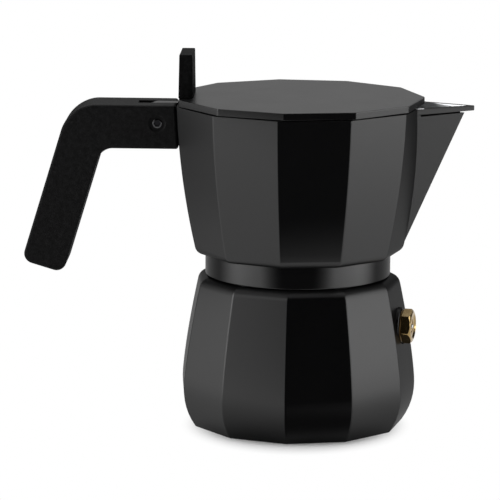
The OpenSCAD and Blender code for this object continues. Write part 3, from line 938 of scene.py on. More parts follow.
@dataclass(frozen=True)
class BrightSteel:
    """Drawn or turned steel, bright or blackened."""

    name: str
    dark: Colour = (0.42, 0.43, 0.44)
    light: Colour = (0.62, 0.63, 0.64)
    roughness: float = 0.24
    bloom: float = 2.0
    scratch: float = 0.25
    depth: float = 0.002

    def material(self) -> Finish:
        """Builds the steel: short scratches and a soft bloom.

        Returns:
            The material.
        """
        g = Graph(self.name)
        bloom = g.noise(self.bloom, 2.0)
        scratches = g.noise(self.scratch, 2.0, (1.0, 6.0, 1.0))
        return g.set(
            Base_Color=g.blend(bloom, self.dark, self.light),
            Metallic=1.0,
            Roughness=bloom * 0.08 + scratches * 0.08 + (self.roughness - 0.08),
            Normal=g.relief(scratches, self.depth),
        )


@dataclass(frozen=True)
class SealRubber:
    """Pale food rubber with a powdery surface."""

    name: str
    dark: Colour = (0.50, 0.47, 0.40)
    light: Colour = (0.66, 0.63, 0.55)
    stain: float = 6.0
    dust: float = 0.3
    depth: float = 0.01

    def material(self) -> Finish:
        """Builds the rubber: faint stains and a dusty micro grain.

        Returns:
            The material.
        """
        g = Graph(self.name)
        stains = g.noise(self.stain, 3.0)
        dust = g.noise(self.dust, 2.0)
        return g.set(
            Base_Color=g.blend(stains * 0.7 + dust * 0.3, self.dark, self.light),
            Roughness=dust * 0.15 + 0.6,
            Normal=g.relief(dust, self.depth),
        )


Coating = Union[SatinCoat, GrainedPlastic, BareAlloy, TurnedBrass, BrightSteel, SealRubber]

COATINGS: tuple[Coating, ...] = (
    # boiler_coat: foot_h cuts the gloss back near the foot, painted shade for the floor's contact
    # shadow.
    SatinCoat(
        "boiler_coat", roughness=0.40, gloss_from=0.034, gloss_to=0.094, far_gloss=0.02, foot_h=17.0
    ),
    SatinCoat("collector_coat", roughness=0.52, far_gloss=0.20),
    SatinCoat(
        "collar_coat", gloss=0.56, gloss_from=0.03, gloss_to=0.11, fade_from=0.25, fade_to=0.5
    ),
    # Matt black coat for the groove under the spout's lip: painted shade.
    SatinCoat("groove_painted_shade", gloss=0.05, dull=0.0),
    # Lid top: a lighter, glossier copy of the satin coat, painted light; the lid's sides take
    # collector_coat.
    SatinCoat("lid_top_lit_coat", far_gloss=0.66, light=(0.0036, 0.0036, 0.0038)),
    BareAlloy("cast_alloy", cast=0.5, roughness=0.36),
    BareAlloy("spun_alloy", roughness=0.26),
    BareAlloy("punched_alloy", roughness=0.32, rings=0.8, cast=0.2),
    BareAlloy("turned_alloy", roughness=0.22, rings=0.25),
    BareAlloy("blasted_alloy", (0.74, 0.75, 0.76), (0.90, 0.91, 0.92), roughness=0.6, cast=0.8),
    TurnedBrass("valve_brass", (0.20, 0.125, 0.04), (0.45, 0.33, 0.155), 0.12),
    TurnedBrass("cap_brass", roughness=0.2),
    # Washer: bronze darkened to near black, painted shade at the foot of the valve.
    TurnedBrass("washer_bronze_painted_shade", (0.05, 0.03, 0.012), (0.10, 0.065, 0.03), 0.35),
    TurnedBrass("bush_brass", roughness=0.25),
    BrightSteel("bright_steel"),
    BrightSteel("spring_steel", (0.34, 0.35, 0.36), (0.52, 0.53, 0.54), 0.3),
    BrightSteel("black_steel", (0.030, 0.030, 0.031), (0.095, 0.095, 0.098), 0.2),
    # Socket steel: darker steel for the screw's hexagon socket, painted shade in the recess.
    BrightSteel("socket_painted_shade_steel", (0.006, 0.006, 0.007), (0.022, 0.022, 0.024), 0.3),
    GrainedPlastic("grip_plastic"),
    GrainedPlastic("knob_plastic", gloss=0.03),
    GrainedPlastic("shim_plastic", grain=0.2, depth=0.01),
    SealRubber("seal_rubber"),
)


# ---------------------------------------------------------------- measures of the whole pot


@dataclass(frozen=True)
class Stack:
    """Heights and radii that the sub-assemblies share, from the table up."""

    sides: int = 11
    boiler_h: float = 60.4
    neck_r: float = 34.3
    neck_wall: float = 3.9
    neck_h: float = 6.4
    collar_gap: float = 0.3
    collar_h: float = 8.7
    collector_h: float = 59.45
    foot_r: float = 41.7
    rim_r: float = 50.15
    bow: float = 1.55
    lid_gap: float = 0.65
    lid_t: float = 2.4
    lid_inset: float = 0.3
    hinge_back: float = 7.8
    eye_r: float = 7.2
    handle_rise: float = 0.1
    slot_half_w: float = 3.4
    pin_r: float = 2.0

    @property
    def flat(self) -> float:
        """Share of a corner radius at a facet's middle."""
        return math.cos(math.pi / self.sides)

    @property
    def neck_bore(self) -> float:
        """Radius inside the neck."""
        return self.neck_r - self.neck_wall

    @property
    def neck_top(self) -> float:
        """Height of the neck's top."""
        return self.boiler_h + self.neck_h

    @property
    def collar_z(self) -> float:
        """Height of the collar's foot."""
        return self.boiler_h + self.collar_gap

    @property
    def collector_z(self) -> float:
        """Height of the collector's flat underside."""
        return self.collar_z + self.collar_h

    @property
    def rim_z(self) -> float:
        """Height of the collector's rim."""
        return self.collector_z + self.collector_h

    @property
    def lid_z(self) -> float:
        """Height of the lid's underside."""
        return self.rim_z + self.lid_gap

    @property
    def lid_top(self) -> float:
        """Height of the lid's top."""
        return self.lid_z + self.lid_t

    @property
    def lid_r(self) -> float:
        """Corner radius of the lid."""
        return self.rim_r - self.lid_inset

    @property
    def back_x(self) -> float:
        """Place of the collector's back facet at the rim."""
        return -self.rim_r * self.flat

    @property
    def handle_top(self) -> float:
        """Height of the handle's flat top."""
        return self.rim_z + self.handle_rise

    @property
    def hinge(self) -> Point:
        """Place of the hinge's axis, across and up."""
        return self.back_x - self.hinge_back, self.handle_top - self.eye_r

    @property
    def hinge_frame(self) -> Matrix:
        """Matrix that carries a shape on the pot's axis onto the hinge's axis."""
        return across(*self.hinge)

    def side_r(self, z: float) -> float:
        """Corner radius of the collector's side at a height."""
        share = (z - self.collector_z) / self.collector_h
        return self.foot_r + (self.rim_r - self.foot_r) * share + 4 * self.bow * share * (1 - share)


def meridian(a: Vector, b: Vector, angle: float) -> bool:
    """Whether an edge runs up a corner between two facets.

    Args:
        a: One end.
        b: Other end.
        angle: Angle between its faces.

    Returns:
        True for a corner edge.
    """
    same_turn = abs(a.x * b.y - a.y * b.x) < 1e-3 * max(a.length, b.length)
    off_axis = a.xy.length > 1.0 and b.xy.length > 1.0
    return same_turn and off_axis and angle > 1.0 and (a - b).length > 1e-4


def front_edge(a: Vector, b: Vector, angle: float) -> bool:
    """Whether an edge lies in the pot's middle plane, as the spout's front edge does."""
    return abs(a.y) < 0.01 and abs(b.y) < 0.01


# ---------------------------------------------------------------- boiler and its valve


@dataclass
class Boiler:
    """Faceted water vessel with a screwed neck and a seat for the valve."""

    looks: dict[str, Finish]
    stack: Stack
    foot_r: float = 42.6
    belly_r: float = 47.65
    belly_z: float = 16.2
    top_r: float = 40.45
    shoulder_round: float = 4.9
    foot_round: float = 0.8
    turn: float = 4.0
    foot_power: float = 2.3
    bow_power: float = 1.36
    wall: float = 3.0
    floor: float = 3.0
    floor_round: float = 5.0
    corner_round: float = 0.45
    neck_step: float = 0.35
    neck_break: float = 1.0
    valve_z: float = 41.2
    valve_out: float = 0.4
    valve_roll: float = -12.0
    seat_r: float = 7.3
    seat_depth: float = 6.0
    seat_edge: float = 0.15
    shank_r: float = 4.8
    hole_depth: float = 9.0
    thread_at: float = 1.3
    thread_pitch: float = 1.6
    thread_turns: int = 2
    thread_out: float = 0.22
    thread_in: float = 0.6
    crest_half: float = 0.12
    root_half: float = 0.55

    @property
    def valve_angle(self) -> float:
        """Turn of the facet that carries the valve, in degrees."""
        return self.turn - 180 / self.stack.sides

    @property
    def valve_seat(self) -> float:
        """Distance of the valve's seat from the pot's axis."""
        return self.side_r(self.valve_z) * self.stack.flat + self.valve_out

    def side_r(self, z: float) -> float:
        """Corner radius of the side.

        Args:
            z: Height.

        Returns:
            The radius.
        """
        if z < self.belly_z:
            under = (1 - z / self.belly_z) ** self.foot_power
            return self.belly_r - (self.belly_r - self.foot_r) * under
        share = (z - self.belly_z) / (self.stack.boiler_h - self.belly_z)
        return self.belly_r - (self.belly_r - self.top_r) * share**self.bow_power

    def valve_frame(self, distance: float) -> Matrix:
        """Matrix that carries a shape on the pot's axis onto the valve's axis.

        Args:
            distance: Distance of its zero from the pot's axis.

        Returns:
            The matrix, in metres.
        """
        turn = Matrix.Rotation(math.radians(self.valve_angle), 4, "Z")
        move = Matrix.Translation(Vector((distance, 0, self.valve_z)) * MM)
        roll = Matrix.Rotation(math.radians(self.valve_roll), 4, "Z")
        return turn @ move @ Matrix.Rotation(math.radians(90), 4, "Y") @ roll

    def side_profile(self) -> Profile:
        """Outside from the edge of the underside to the flat top.

        Returns:
            Radii and heights.
        """
        shoulder = self.stack.boiler_h - self.shoulder_round
        foot_x, foot_z, foot_lean = round_into(self.side_r, self.foot_round, self.foot_round)
        top_x, top_z, top_lean = round_into(self.side_r, shoulder, self.shoulder_round)
        return (
            arc(foot_x, self.foot_round, self.foot_round, -90, foot_lean, 4)[:-1]
            + [(self.side_r(z), z) for z in steps(foot_z, top_z, 22)][:-1]
            + arc(top_x, shoulder, self.shoulder_round, top_lean, 90, 7)
        )

    def inner_r(self, z: float) -> float:
        """Radius of the water space at a height."""
        return self.side_r(z) * self.stack.flat - self.wall

    def cavity_profile(self) -> Profile:
        """Inside from the floor up through the neck.

        Returns:
            Radii and heights.
        """
        roof, bore = self.stack.boiler_h - self.wall, self.stack.neck_bore
        neck_top, r = self.stack.neck_top, self.floor_round
        start = self.floor + r
        return (
            arc(self.inner_r(start) - r, start, r, -90, 0, 6)
            + [(self.inner_r(z), z) for z in steps(start, roof - 7.0, 10)[1:]]
            + [(bore, roof), (bore, neck_top - 0.5), (bore + 1.5, neck_top + 1.0)]
        )

    def build(self) -> Solid:
        """Builds the vessel, coated outside and bare at the neck and inside.

        Returns:
            The piece.
        """
        coat, alloy = self.looks["boiler_coat"], self.looks["cast_alloy"]
        top, neck, neck_top = self.stack.boiler_h, self.stack.neck_r, self.stack.neck_top
        step, edge, seat_r = neck - self.neck_step, self.seat_edge, self.seat_r
        at_seat = self.valve_frame(self.valve_seat)
        shell = Bench.turned("boiler_shell", self.side_profile(), self.stack.sides, self.turn)
        Bench.round_edges(shell, self.corner_round, meridian)
        seat = Bench.turned(
            "seat", [(seat_r, -self.seat_depth), (seat_r, -edge), (seat_r - edge, 0.0)], 64
        )
        collar = Bench.turned(
            "neck",
            [(neck, top - 1.0), (neck, top + 0.6), (step, top + 0.9), (step, neck_top - 1.2)]
            + [(neck - self.neck_break, neck_top)],
        )
        Bench.coat(shell, coat)
        Bench.coat(Bench.place(seat, at_seat), coat)
        Bench.join(shell, Join.WELD, seat, Bench.coat(collar, alloy))
        cavity = Bench.turned("cavity", self.cavity_profile())
        clearance = Bench.place(Bench.rod("clearance", seat_r, 0.0, 8.0, 64), at_seat)
        hole = Bench.place(Bench.rod("hole", self.shank_r, -self.hole_depth, 3.0, 64), at_seat)
        Bench.carve(shell, (cavity, alloy), (clearance, coat), (hole, alloy))
        return Bench.smooth(shell)

    def build_thread(self) -> Solid:
        """Winds the thread's ridge round the neck.

        Returns:
            The piece.
        """
        foot = self.stack.boiler_h + self.thread_at
        root = self.stack.neck_r - self.thread_in
        crest = self.stack.neck_r - self.neck_step + self.thread_out
        section = [
            (root, 0, foot - self.root_half),
            (crest, 0, foot - self.crest_half),
            (crest, 0, foot + self.crest_half),
            (root, 0, foot + self.root_half),
        ]
        ridge = Bench.wind("neck_thread", section, self.thread_pitch, self.thread_turns, 96)
        return Bench.dress(ridge, self.looks["cast_alloy"], 30)


@dataclass
class SafetyValve:
    """Screwed-in brass valve with a sprung pin behind a pressed-in cap."""

    looks: dict[str, Finish]
    boiler: Boiler
    across_flats: float = 12.2
    head_h: float = 4.0
    crown_r: float = 2.3
    crown_inset: float = 1.1
    corner_round: float = 0.35
    washer_t: float = 0.7
    washer_margin: float = 0.5
    washer_edge: float = 0.15
    bore_edge: float = 0.1
    shank_end: float = -5.3
    shank_edge: float = 0.45
    shank_gap: float = 0.05
    seat_t: float = 1.6
    inlet_r: float = 1.1
    chamber_r: float = 2.6
    dish: float = 0.8
    cap_t: float = 0.6
    cap_gap: float = 0.02
    pin_r: float = 0.9
    pin_gap: float = 0.06
    pin_inset: float = 0.2
    pin_round: float = 0.4
    disc_t: float = 0.9
    disc_gap: float = 0.1
    disc_play: float = 0.3
    wire_r: float = 0.28
    wire_gap: float = 0.1
    coils: int = 4
    travel: float = 1.2

    @property
    def head_at(self) -> Matrix:
        """Matrix that carries a shape onto the valve's axis, its zero at the hexagon's back."""
        return self.boiler.valve_frame(self.boiler.valve_seat + self.washer_t)

    @property
    def disc_top(self) -> float:
        """Place of the pin's disc along the valve's axis, at its top."""
        return self.shank_end + self.seat_t + self.disc_gap + self.disc_t

    @property
    def cap_foot(self) -> float:
        """Place of the cap's underside along the valve's axis."""
        return self.head_h - self.dish - self.cap_t

    def build_body(self) -> Solid:
        """Builds the hexagon with its turned face, its shank and its chamber.

        Returns:
            The piece.
        """
        half, top, end = self.across_flats / 2, self.head_h, self.shank_end
        shank_r, seat = self.boiler.shank_r, self.shank_end + self.seat_t
        body = Bench.rod("valve_hexagon", half / math.cos(math.pi / 6), 0.0, top, 6)
        Bench.round_edges(body, self.corner_round, meridian)
        crown = Bench.turned(
            "crown",
            [(half + 0.35, 0.0), (half + 1.1, 0.55)]
            + arc(half - self.crown_inset, top - self.crown_r, self.crown_r, 0, 90, 10)
            + [(half - 1.3, top - 0.12), (half - 1.75, top - 0.42)]
            + [(self.chamber_r + 0.4, top - self.dish)],
        )
        Bench.join(body, Join.KEEP_COMMON, crown)
        outer = shank_r - self.shank_gap
        shank = Bench.turned(
            "shank",
            [(outer - self.shank_edge, end), (outer, end + self.shank_edge), (outer, 0.4)],
            64,
        )
        Bench.join(body, Join.WELD, shank)
        bore = Bench.rod("bore", self.inlet_r, end - 1, seat + 1, 48)
        chamber = Bench.rod("chamber", self.chamber_r, seat, top + 1, 64)
        Bench.join(body, Join.CARVE, bore, chamber)
        return Bench.dress(body, self.looks["valve_brass"], 30, self.head_at)

    def build_washer(self) -> Solid:
        """Builds the washer under the hexagon, in a bronze darkened to painted shade at the valve's
        foot.

        Returns:
            The piece.
        """
        outer, inner = self.across_flats / 2 + self.washer_margin, self.boiler.shank_r + 0.1
        t, edge, fine = self.washer_t, self.washer_edge, self.bore_edge
        washer = Bench.turned(
            "valve_ring",
            [(inner, fine), (inner + fine, 0.0), (outer - edge, 0.0), (outer, edge)]
            + [(outer, t - edge), (outer - edge, t), (inner + fine, t), (inner, t - fine)],
            ring=True,
        )
        at_seat = self.boiler.valve_frame(self.boiler.valve_seat)
        # The washer's near-black bronze is painted shade at the valve's foot.
        return Bench.dress(washer, self.looks["washer_bronze_painted_shade"], 50, at_seat)

    def build_cap(self) -> Solid:
        """Builds the cap with its slightly domed face.

        Returns:
            The piece.
        """
        foot, top = self.cap_foot, self.cap_foot + self.cap_t
        hole, outer = self.pin_r + self.pin_gap, self.chamber_r - self.cap_gap
        cap = Bench.turned(
            "valve_eyelet",
            [(hole, foot), (outer, foot), (outer, top - 0.2), (self.chamber_r - 0.2, top - 0.04)]
            + [(hole + 0.25, top), (hole, top - 0.15)],
            64,
            ring=True,
        )
        return Bench.dress(cap, self.looks["cap_brass"], 50, self.head_at)

    def build_pin(self) -> Solid:
        """Builds the pin with its disc and rounded end.

        Returns:
            The piece.
        """
        low, high, top = self.disc_top - self.disc_t, self.disc_top, self.head_h - self.pin_inset
        disc_r, r = self.chamber_r - self.disc_play, self.pin_round
        pin = Bench.turned(
            "valve_plunger",
            [(disc_r - 0.15, low), (disc_r, low + 0.15), (disc_r, high - 0.1), (disc_r - 0.1, high)]
            + [(self.pin_r, high)]
            + arc(self.pin_r - r, top - r, r, 0, 80, 5),
            48,
        )
        return Bench.dress(pin, self.looks["bright_steel"], 40, self.head_at)

    def build_spring(self) -> Solid:
        """Winds the spring between the pin's disc and the cap.

        Returns:
            The piece.
        """
        wire, reach = self.wire_r, self.pin_r + self.disc_play + self.wire_r
        low = self.disc_top + wire + self.wire_gap
        pitch = (self.cap_foot - wire - self.wire_gap - low) / self.coils
        section = [(x, 0, z) for x, z in arc(reach, low, wire, 0, 360, 10)[:-1]]
        spring = Bench.wind("valve_coil", section, pitch, self.coils, 32)
        return Bench.dress(spring, self.looks["spring_steel"], 50, self.head_at)

    def press(self, spring: Solid) -> None:
        """Gives the spring its own mesh; nothing here makes it shorten as the pin lifts.

        Args:
            spring: The spring.
        """
        anchor = self.head_at @ Vector((0, 0, self.cap_foot * MM))
        axis = self.head_at.to_3x3() @ Vector((0, 0, 1))
        length = self.cap_foot - self.disc_top
        (length - self.travel) / length
        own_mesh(spring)


# ---------------------------------------------------------------- inside parts


@dataclass
class Brewing:
    """Funnel with its strainer, the gasket, the filter plate and the column."""

    looks: dict[str, Finish]
    stack: Stack
    funnel_gap: float = 0.4
    sheet: float = 0.8
    cup_h: float = 17.5
    cone_h: float = 8.0
    stem_r: float = 4.6
    stem_end: float = 8.0
    move_gap: float = 0.3
    flange_inset: float = 0.9
    gasket_t: float = 3.3
    gasket_r: float = 33.25
    gasket_bore: float = 26.5
    gasket_round: float = 0.5
    parting_out: float = 0.08
    column_foot_r: float = 8.0
    column_top_r: float = 5.0
    column_bore_r: float = 3.2
    column_h: float = 36.0
    column_round: float = 1.2
    screw_wall: float = 2.0
    screw_gap: float = 0.04
    outlet_r: float = 2.2
    dome_h: float = 2.2
    floor_t: float = 2.4
    plate_t: float = 0.8
    hole_edge: float = 0.1

    @property
    def rim_at(self) -> float:
        """Height of the underside of the funnel's flange."""
        return self.stack.neck_top + self.move_gap

    @property
    def gasket_at(self) -> float:
        """Height of the gasket's underside."""
        return self.rim_at + self.sheet + self.move_gap

    @property
    def roof_at(self) -> float:
        """Height of the recess's roof over the filter plate."""
        return self.gasket_at + self.gasket_t + self.plate_t + self.move_gap

    @property
    def screw_r(self) -> float:
        """Radius of the hole that the column is screwed into."""
        return self.column_bore_r + self.screw_wall

    def build_funnel(self) -> Solid:
        """Builds the funnel from one sheet, with rolled edges and soft bends.

        Returns:
            The piece.
        """
        t, rim = self.sheet, self.rim_at
        cup = self.stack.neck_bore - self.funnel_gap
        flange = self.stack.neck_r - self.flange_inset
        floor = rim + t - self.cup_h
        cone = floor - self.cone_h
        stem, end, inside = self.stem_r, self.stem_end, self.stem_r - t
        funnel = Bench.turned(
            "funnel_cup",
            [(stem - 0.2, end), (stem, end + 0.2), (stem, cone), (cup - 1.2, floor - t - 0.4)]
            + [(cup - 0.3, floor - t + 0.1), (cup, floor - t + 0.9), (cup, rim - 0.6)]
            + [(cup + 0.2, rim - 0.15), (cup + 0.6, rim), (flange - 0.2, rim)]
            + arc(flange - 0.4, rim + t / 2, t / 2, -90, 90, 6)[1:]
            + [(cup, rim + t), (cup - t + 0.25, rim + t - 0.15), (cup - t, rim + t - 0.6)]
            + [(cup - t, floor), (cup - t - 1.2, floor), (inside, cone + t), (inside, end + 0.15)]
            + [(inside + 0.15, end)],
            ring=True,
        )
        return Bench.dress(funnel, self.looks["spun_alloy"], 35)

    def build_gasket(self) -> Solid:
        """Builds the moulded ring with its rounded edges and parting line.

        Returns:
            The piece.
        """
        foot, top = self.gasket_at, self.gasket_at + self.gasket_t
        outer, inner, r = self.gasket_r, self.gasket_bore, self.gasket_round
        line = (foot + top) / 2
        gasket = Bench.turned(
            "seal_ring",
            arc(outer - r, foot + r, r, -90, 0, 4)
            + [(outer, line - 0.1), (outer + self.parting_out, line), (outer, line + 0.1)]
            + arc(outer - r, top - r, r, 0, 90, 4)
            + arc(inner + r, top - r, r, 90, 180, 4)
            + arc(inner + r, foot + r, r, 180, 270, 4),
            ring=True,
        )
        return Bench.dress(gasket, self.looks["seal_rubber"], 40)

    def build_column(self) -> Solid:
        """Builds the column with its screwed seat, waisted foot and two side outlets.

        Returns:
            The piece.
        """
        seat = self.roof_at + self.dome_h
        foot = seat + self.floor_t + self.screw_gap
        top = foot + self.column_h
        seat_r, r = self.screw_r - self.screw_gap, self.column_round
        low_r, top_r = self.column_foot_r, self.column_top_r
        head = top - 4 * self.outlet_r
        column = Bench.turned(
            "coffee_column",
            [(seat_r - 0.2, seat), (seat_r, seat + 0.2), (seat_r, foot), (low_r - 0.15, foot)]
            + [(low_r, foot + 0.15), (low_r, foot + 0.65), (low_r - 0.2, foot + 0.8)]
            + [(low_r - 0.9, foot + 2.6), (top_r + 0.08, head - 0.8), (top_r, head)]
            + arc(top_r - r, top - r, r, 0, 90, 6),
            64,
        )
        outlet_z = top - 2 * self.outlet_r
        bore = Bench.rod("bore", self.column_bore_r, seat - 1, outlet_z, 48)
        outlets = Bench.rod("outlets", self.outlet_r, -low_r, low_r, 48)
        Bench.place(outlets, across(0, outlet_z))
        Bench.join(column, Join.CARVE, bore, outlets)
        return Bench.dress(column, self.looks["turned_alloy"], 35)

    def build_sheet(self, node: str, name: str) -> Solid:
        """Builds a punched sheet whose holes have broken edges.

        Args:
            node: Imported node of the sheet.
            name: Name of the piece.

        Returns:
            The piece.
        """
        sheet = Bench.copy_of(node, name)
        Bench.edit(sheet, Pick.FACES, True)
        bpy.ops.mesh.dissolve_limited(angle_limit=math.radians(1))
        Bench.close(orient=False)
        Bench.soften(sheet, self.hole_edge, 1, 60)
        return Bench.dress(sheet, self.looks["punched_alloy"], 30)


# ---------------------------------------------------------------- collector


@dataclass
class Collector:
    """Faceted upper vessel with its collar, spout, hinge ears and coffee space."""

    looks: dict[str, Finish]
    stack: Stack
    brewing: Brewing
    wall: float = 2.3
    foot_round: float = 3.9
    corner_round: float = 0.45
    collar_wall: float = 2.4
    collar_edge: float = 0.35
    thread_gap: float = 0.35
    spout_tip: float = 69.4
    spout_front: float = 67.1
    spout_half_w: float = 12.15
    spout_foot_h: float = 3.2
    spout_wall: float = 1.6
    spout_corner_round: float = 0.6
    channel_round: float = 1.0
    lip_h: float = 1.8
    lip_half_w: float = 0.9
    lip_wall: float = 1.7
    lip_back: float = 2.0
    lip_draw: float = 1.0
    lip_root_drop: float = 0.6
    lip_edge: float = 0.22
    groove_h: float = 0.9
    groove_start: float = 1.5
    groove_shift: float = 2.1
    land_h: float = 0.06
    land_l: float = 2.7
    throat_h: float = 1.5
    throat_half_w: float = 0.25
    throat_back: float = 4.0
    throat_slope: float = 0.72
    floor_round: float = 4.0
    cavity_corner_round: float = 1.2
    plate_seat: float = 2.2
    gasket_edge: float = 0.9
    ear_inset: float = 1.2
    ear_t: float = 3.4
    arm_h: float = 4.6

    @property
    def bore_r(self) -> float:
        """Radius inside the collar."""
        return self.stack.neck_r + self.thread_gap

    @property
    def spout_root(self) -> float:
        """Place of the spout's root at the rim."""
        return self.stack.rim_r - self.spout_half_w * math.tan(math.pi / self.stack.sides)

    @property
    def spout_foot(self) -> Point:
        """Place of the spout's foot, across and up."""
        foot_z = self.stack.collector_z + self.spout_foot_h
        return self.stack.side_r(foot_z), foot_z

    @property
    def spout_wall_x(self) -> float:
        """Shift that gives the spout's channel its wall.

        Returns:
            The shift.
        """
        foot_x, foot_z = self.spout_foot
        foot = Vector((foot_x, 0, foot_z))
        front = Vector((self.spout_front, 0, self.stack.rim_z)) - foot
        root = Vector((self.spout_root, self.spout_half_w, self.stack.rim_z)) - foot
        normal = front.cross(root)
        return self.spout_wall * normal.length / abs(normal.x)

    @property
    def floor_z(self) -> float:
        """Height of the coffee space's floor at its edge."""
        return self.brewing.roof_at + self.brewing.floor_t

    def inner_r(self, z: float) -> float:
        """Corner radius of the coffee space at a height."""
        return self.stack.side_r(z) - self.wall / self.stack.flat

    def side_profile(self) -> Profile:
        """Outside from the flat underside to the broken edge of the rim.

        Returns:
            Radii and heights.
        """
        foot, rim, r = self.stack.collector_z, self.stack.rim_z, self.foot_round
        x, under, lean = round_into(self.stack.side_r, foot + r, r)
        return (
            arc(x, foot + r, r, -90, lean, 7)[:-1]
            + [(self.stack.side_r(z), z) for z in steps(under, rim - 0.3, 20)]
            + [(self.stack.rim_r - 0.08, rim - 0.09), (self.stack.rim_r - 0.3, rim)]
        )

    def spout_block(self, shift: float, top: float) -> Solid:
        """Wedge of the spout.

        Args:
            shift: How far it is moved back.
            top: Height that it is carried up to.

        Returns:
            The wedge.
        """
        foot_x, foot_z = self.spout_foot
        share = (top - foot_z) / (self.stack.rim_z - foot_z)
        root = foot_x + share * (self.spout_root - foot_x) - shift
        front = foot_x + share * (self.spout_front - foot_x) - shift
        half = share * self.spout_half_w
        corners = [(root, half, top), (root, -half, top), (front, 0, top)]
        wedge = Bench.outline("spout_wedge", corners)
        Bench.edit(wedge, Pick.CORNERS, True)
        drop = (0, 0, (foot_z - top) * MM)
        bpy.ops.mesh.extrude_region_move(TRANSFORM_OT_translate={"value": drop})
        bpy.ops.mesh.merge(type="CENTER")
        (tip,) = Bench.pick(wedge, lambda vert: vert.select)
        bpy.ops.transform.translate(value=Vector((foot_x - shift, 0, foot_z)) * MM - tip)
        Bench.close(fill=True)
        return wedge

    def lip_plate(self, inset: float, low: float, high: float) -> Solid:
        """Plate with the spout's outline at the rim.

        Args:
            inset: How far its outline lies inside the lip's.
            low: Its underside.
            high: Its top.

        Returns:
            The plate.
        """
        slope = math.atan2(self.spout_tip - self.spout_root, self.spout_half_w)
        side = self.spout_half_w - inset / math.sin(slope)
        nose, back, draw = self.throat_half_w, self.throat_back, 0.0
        if inset == 0:
            nose, back, draw = self.lip_half_w, self.lip_back, self.lip_draw
        half = [(self.spout_root - back, side - draw), (self.spout_root - inset, side)]
        half.append((self.spout_tip - 2 * inset, nose))
        corners = [(x, -y, low) for x, y in half] + [(x, y, low) for x, y in reversed(half)]
        return Bench.slab("lip_plate", corners, (0, 0, high - low))

    def lip(self) -> Solid:
        """Thick lip whose underside falls towards its roots.

        Returns:
            The lip.
        """
        rim = self.stack.rim_z
        lip = self.lip_plate(0, rim - self.lip_h, rim)
        Bench.edit(lip, Pick.CORNERS)
        middle, near = (rim - self.lip_h / 2) * MM, (self.spout_root + 1) * MM
        Bench.pick(lip, lambda vert: vert.co.z < middle and vert.co.x < near)
        bpy.ops.transform.translate(value=(0, 0, -self.lip_root_drop * MM))
        Bench.close()
        return Bench.soften(lip, self.lip_edge, 2, 30)

    def spout(self) -> Solid:
        """Wedge of the spout with a rounded front edge and the groove under its lip, coated matt
        black as painted shade.

        Returns:
            The wedge.
        """
        under = self.stack.rim_z - self.lip_h
        spout = self.spout_block(0, self.stack.rim_z)
        Bench.round_edges(spout, self.spout_corner_round, front_edge)
        start = self.spout_root + self.groove_start
        groove = Bench.block("groove", (start, -20, under - self.groove_h), (80, 20, under))
        tip = Vector((self.spout_tip, 0, under)) * MM
        fall = math.atan2(self.lip_root_drop, self.spout_tip - self.spout_root)
        tilt = Matrix.Rotation(-fall, 4, "Y")
        Bench.place(groove, Matrix.Translation(tip) @ tilt @ Matrix.Translation(-tip))
        Bench.join(groove, Join.CARVE, self.spout_block(self.groove_shift, self.stack.rim_z))
        Bench.coat(spout, self.looks["collector_coat"])
        # The groove's faces take a matt black coat: painted shade under the lip.
        return Bench.carve(spout, (groove, self.looks["groove_painted_shade"]))

    def collar(self) -> Solid:
        """Round collar below the vessel.

        Returns:
            The collar.
        """
        outer, foot, edge = self.bore_r + self.collar_wall, self.stack.collar_z, self.collar_edge
        return Bench.turned(
            "collar",
            [(outer - edge, foot), (outer - 0.1, foot + 0.1), (outer, foot + edge)]
            + [(outer, self.stack.collector_z + 1.5)],
        )

    def ear(self, side: int, margin: float = 0.0) -> Solid:
        """One ear that the handle's screw passes through.

        Args:
            side: -1 or 1 for the side of the slot.
            margin: Room left around it, for the pocket that takes it.

        Returns:
            The ear.
        """
        x, z = self.stack.hinge
        r = self.stack.eye_r - self.ear_inset + margin
        root, near = self.stack.back_x + self.wall, (self.stack.slot_half_w - margin) * side
        outline = arc(x, z, r, 270, 90, 16) + [(root, z + r), (root, z - r)]
        push = (0, (self.ear_t + 2 * margin) * side, 0)
        return Bench.slab("ear", [(px, near, pz) for px, pz in outline], push)

    def cavity(self) -> Solid:
        """Space for the coffee, faceted as the outside is.

        Returns:
            The cutter.
        """
        floor, rim, r = self.floor_z, self.stack.rim_z, self.floor_round
        edge = self.inner_r(rim)
        space = Bench.turned(
            "cavity",
            [(self.brewing.column_foot_r + 1, floor + self.brewing.dome_h)]
            + arc(self.inner_r(floor + r) - r, floor + r, r, -90, 0, 6)
            + [(self.inner_r(z), z) for z in steps(floor + r, rim - 0.3, 8)[1:]]
            + [(edge + 0.1, rim - 0.1), (edge + 0.3, rim + 0.01), (edge + 0.3, rim + 1.0)],
            self.stack.sides,
        )
        Bench.round_edges(space, self.cavity_corner_round, meridian)
        return space

    def channel(self) -> Solid:
        """Channel of the spout.

        Returns:
            The cutter.
        """
        rim = self.stack.rim_z
        wedge = self.spout_block(self.spout_wall_x, rim + 1.0)
        low = (0, -20, self.floor_z + self.floor_round)
        room = Bench.block("room", low, (self.spout_tip, 20, rim + 3))
        Bench.join(wedge, Join.KEEP_COMMON, room)

        def long_front(a: Vector, b: Vector, angle: float) -> bool:
            """Whether an edge runs up the channel's front."""
            return front_edge(a, b, angle) and abs(a.z - b.z) > 5

        Bench.round_edges(wedge, self.channel_round, long_front)
        return wedge

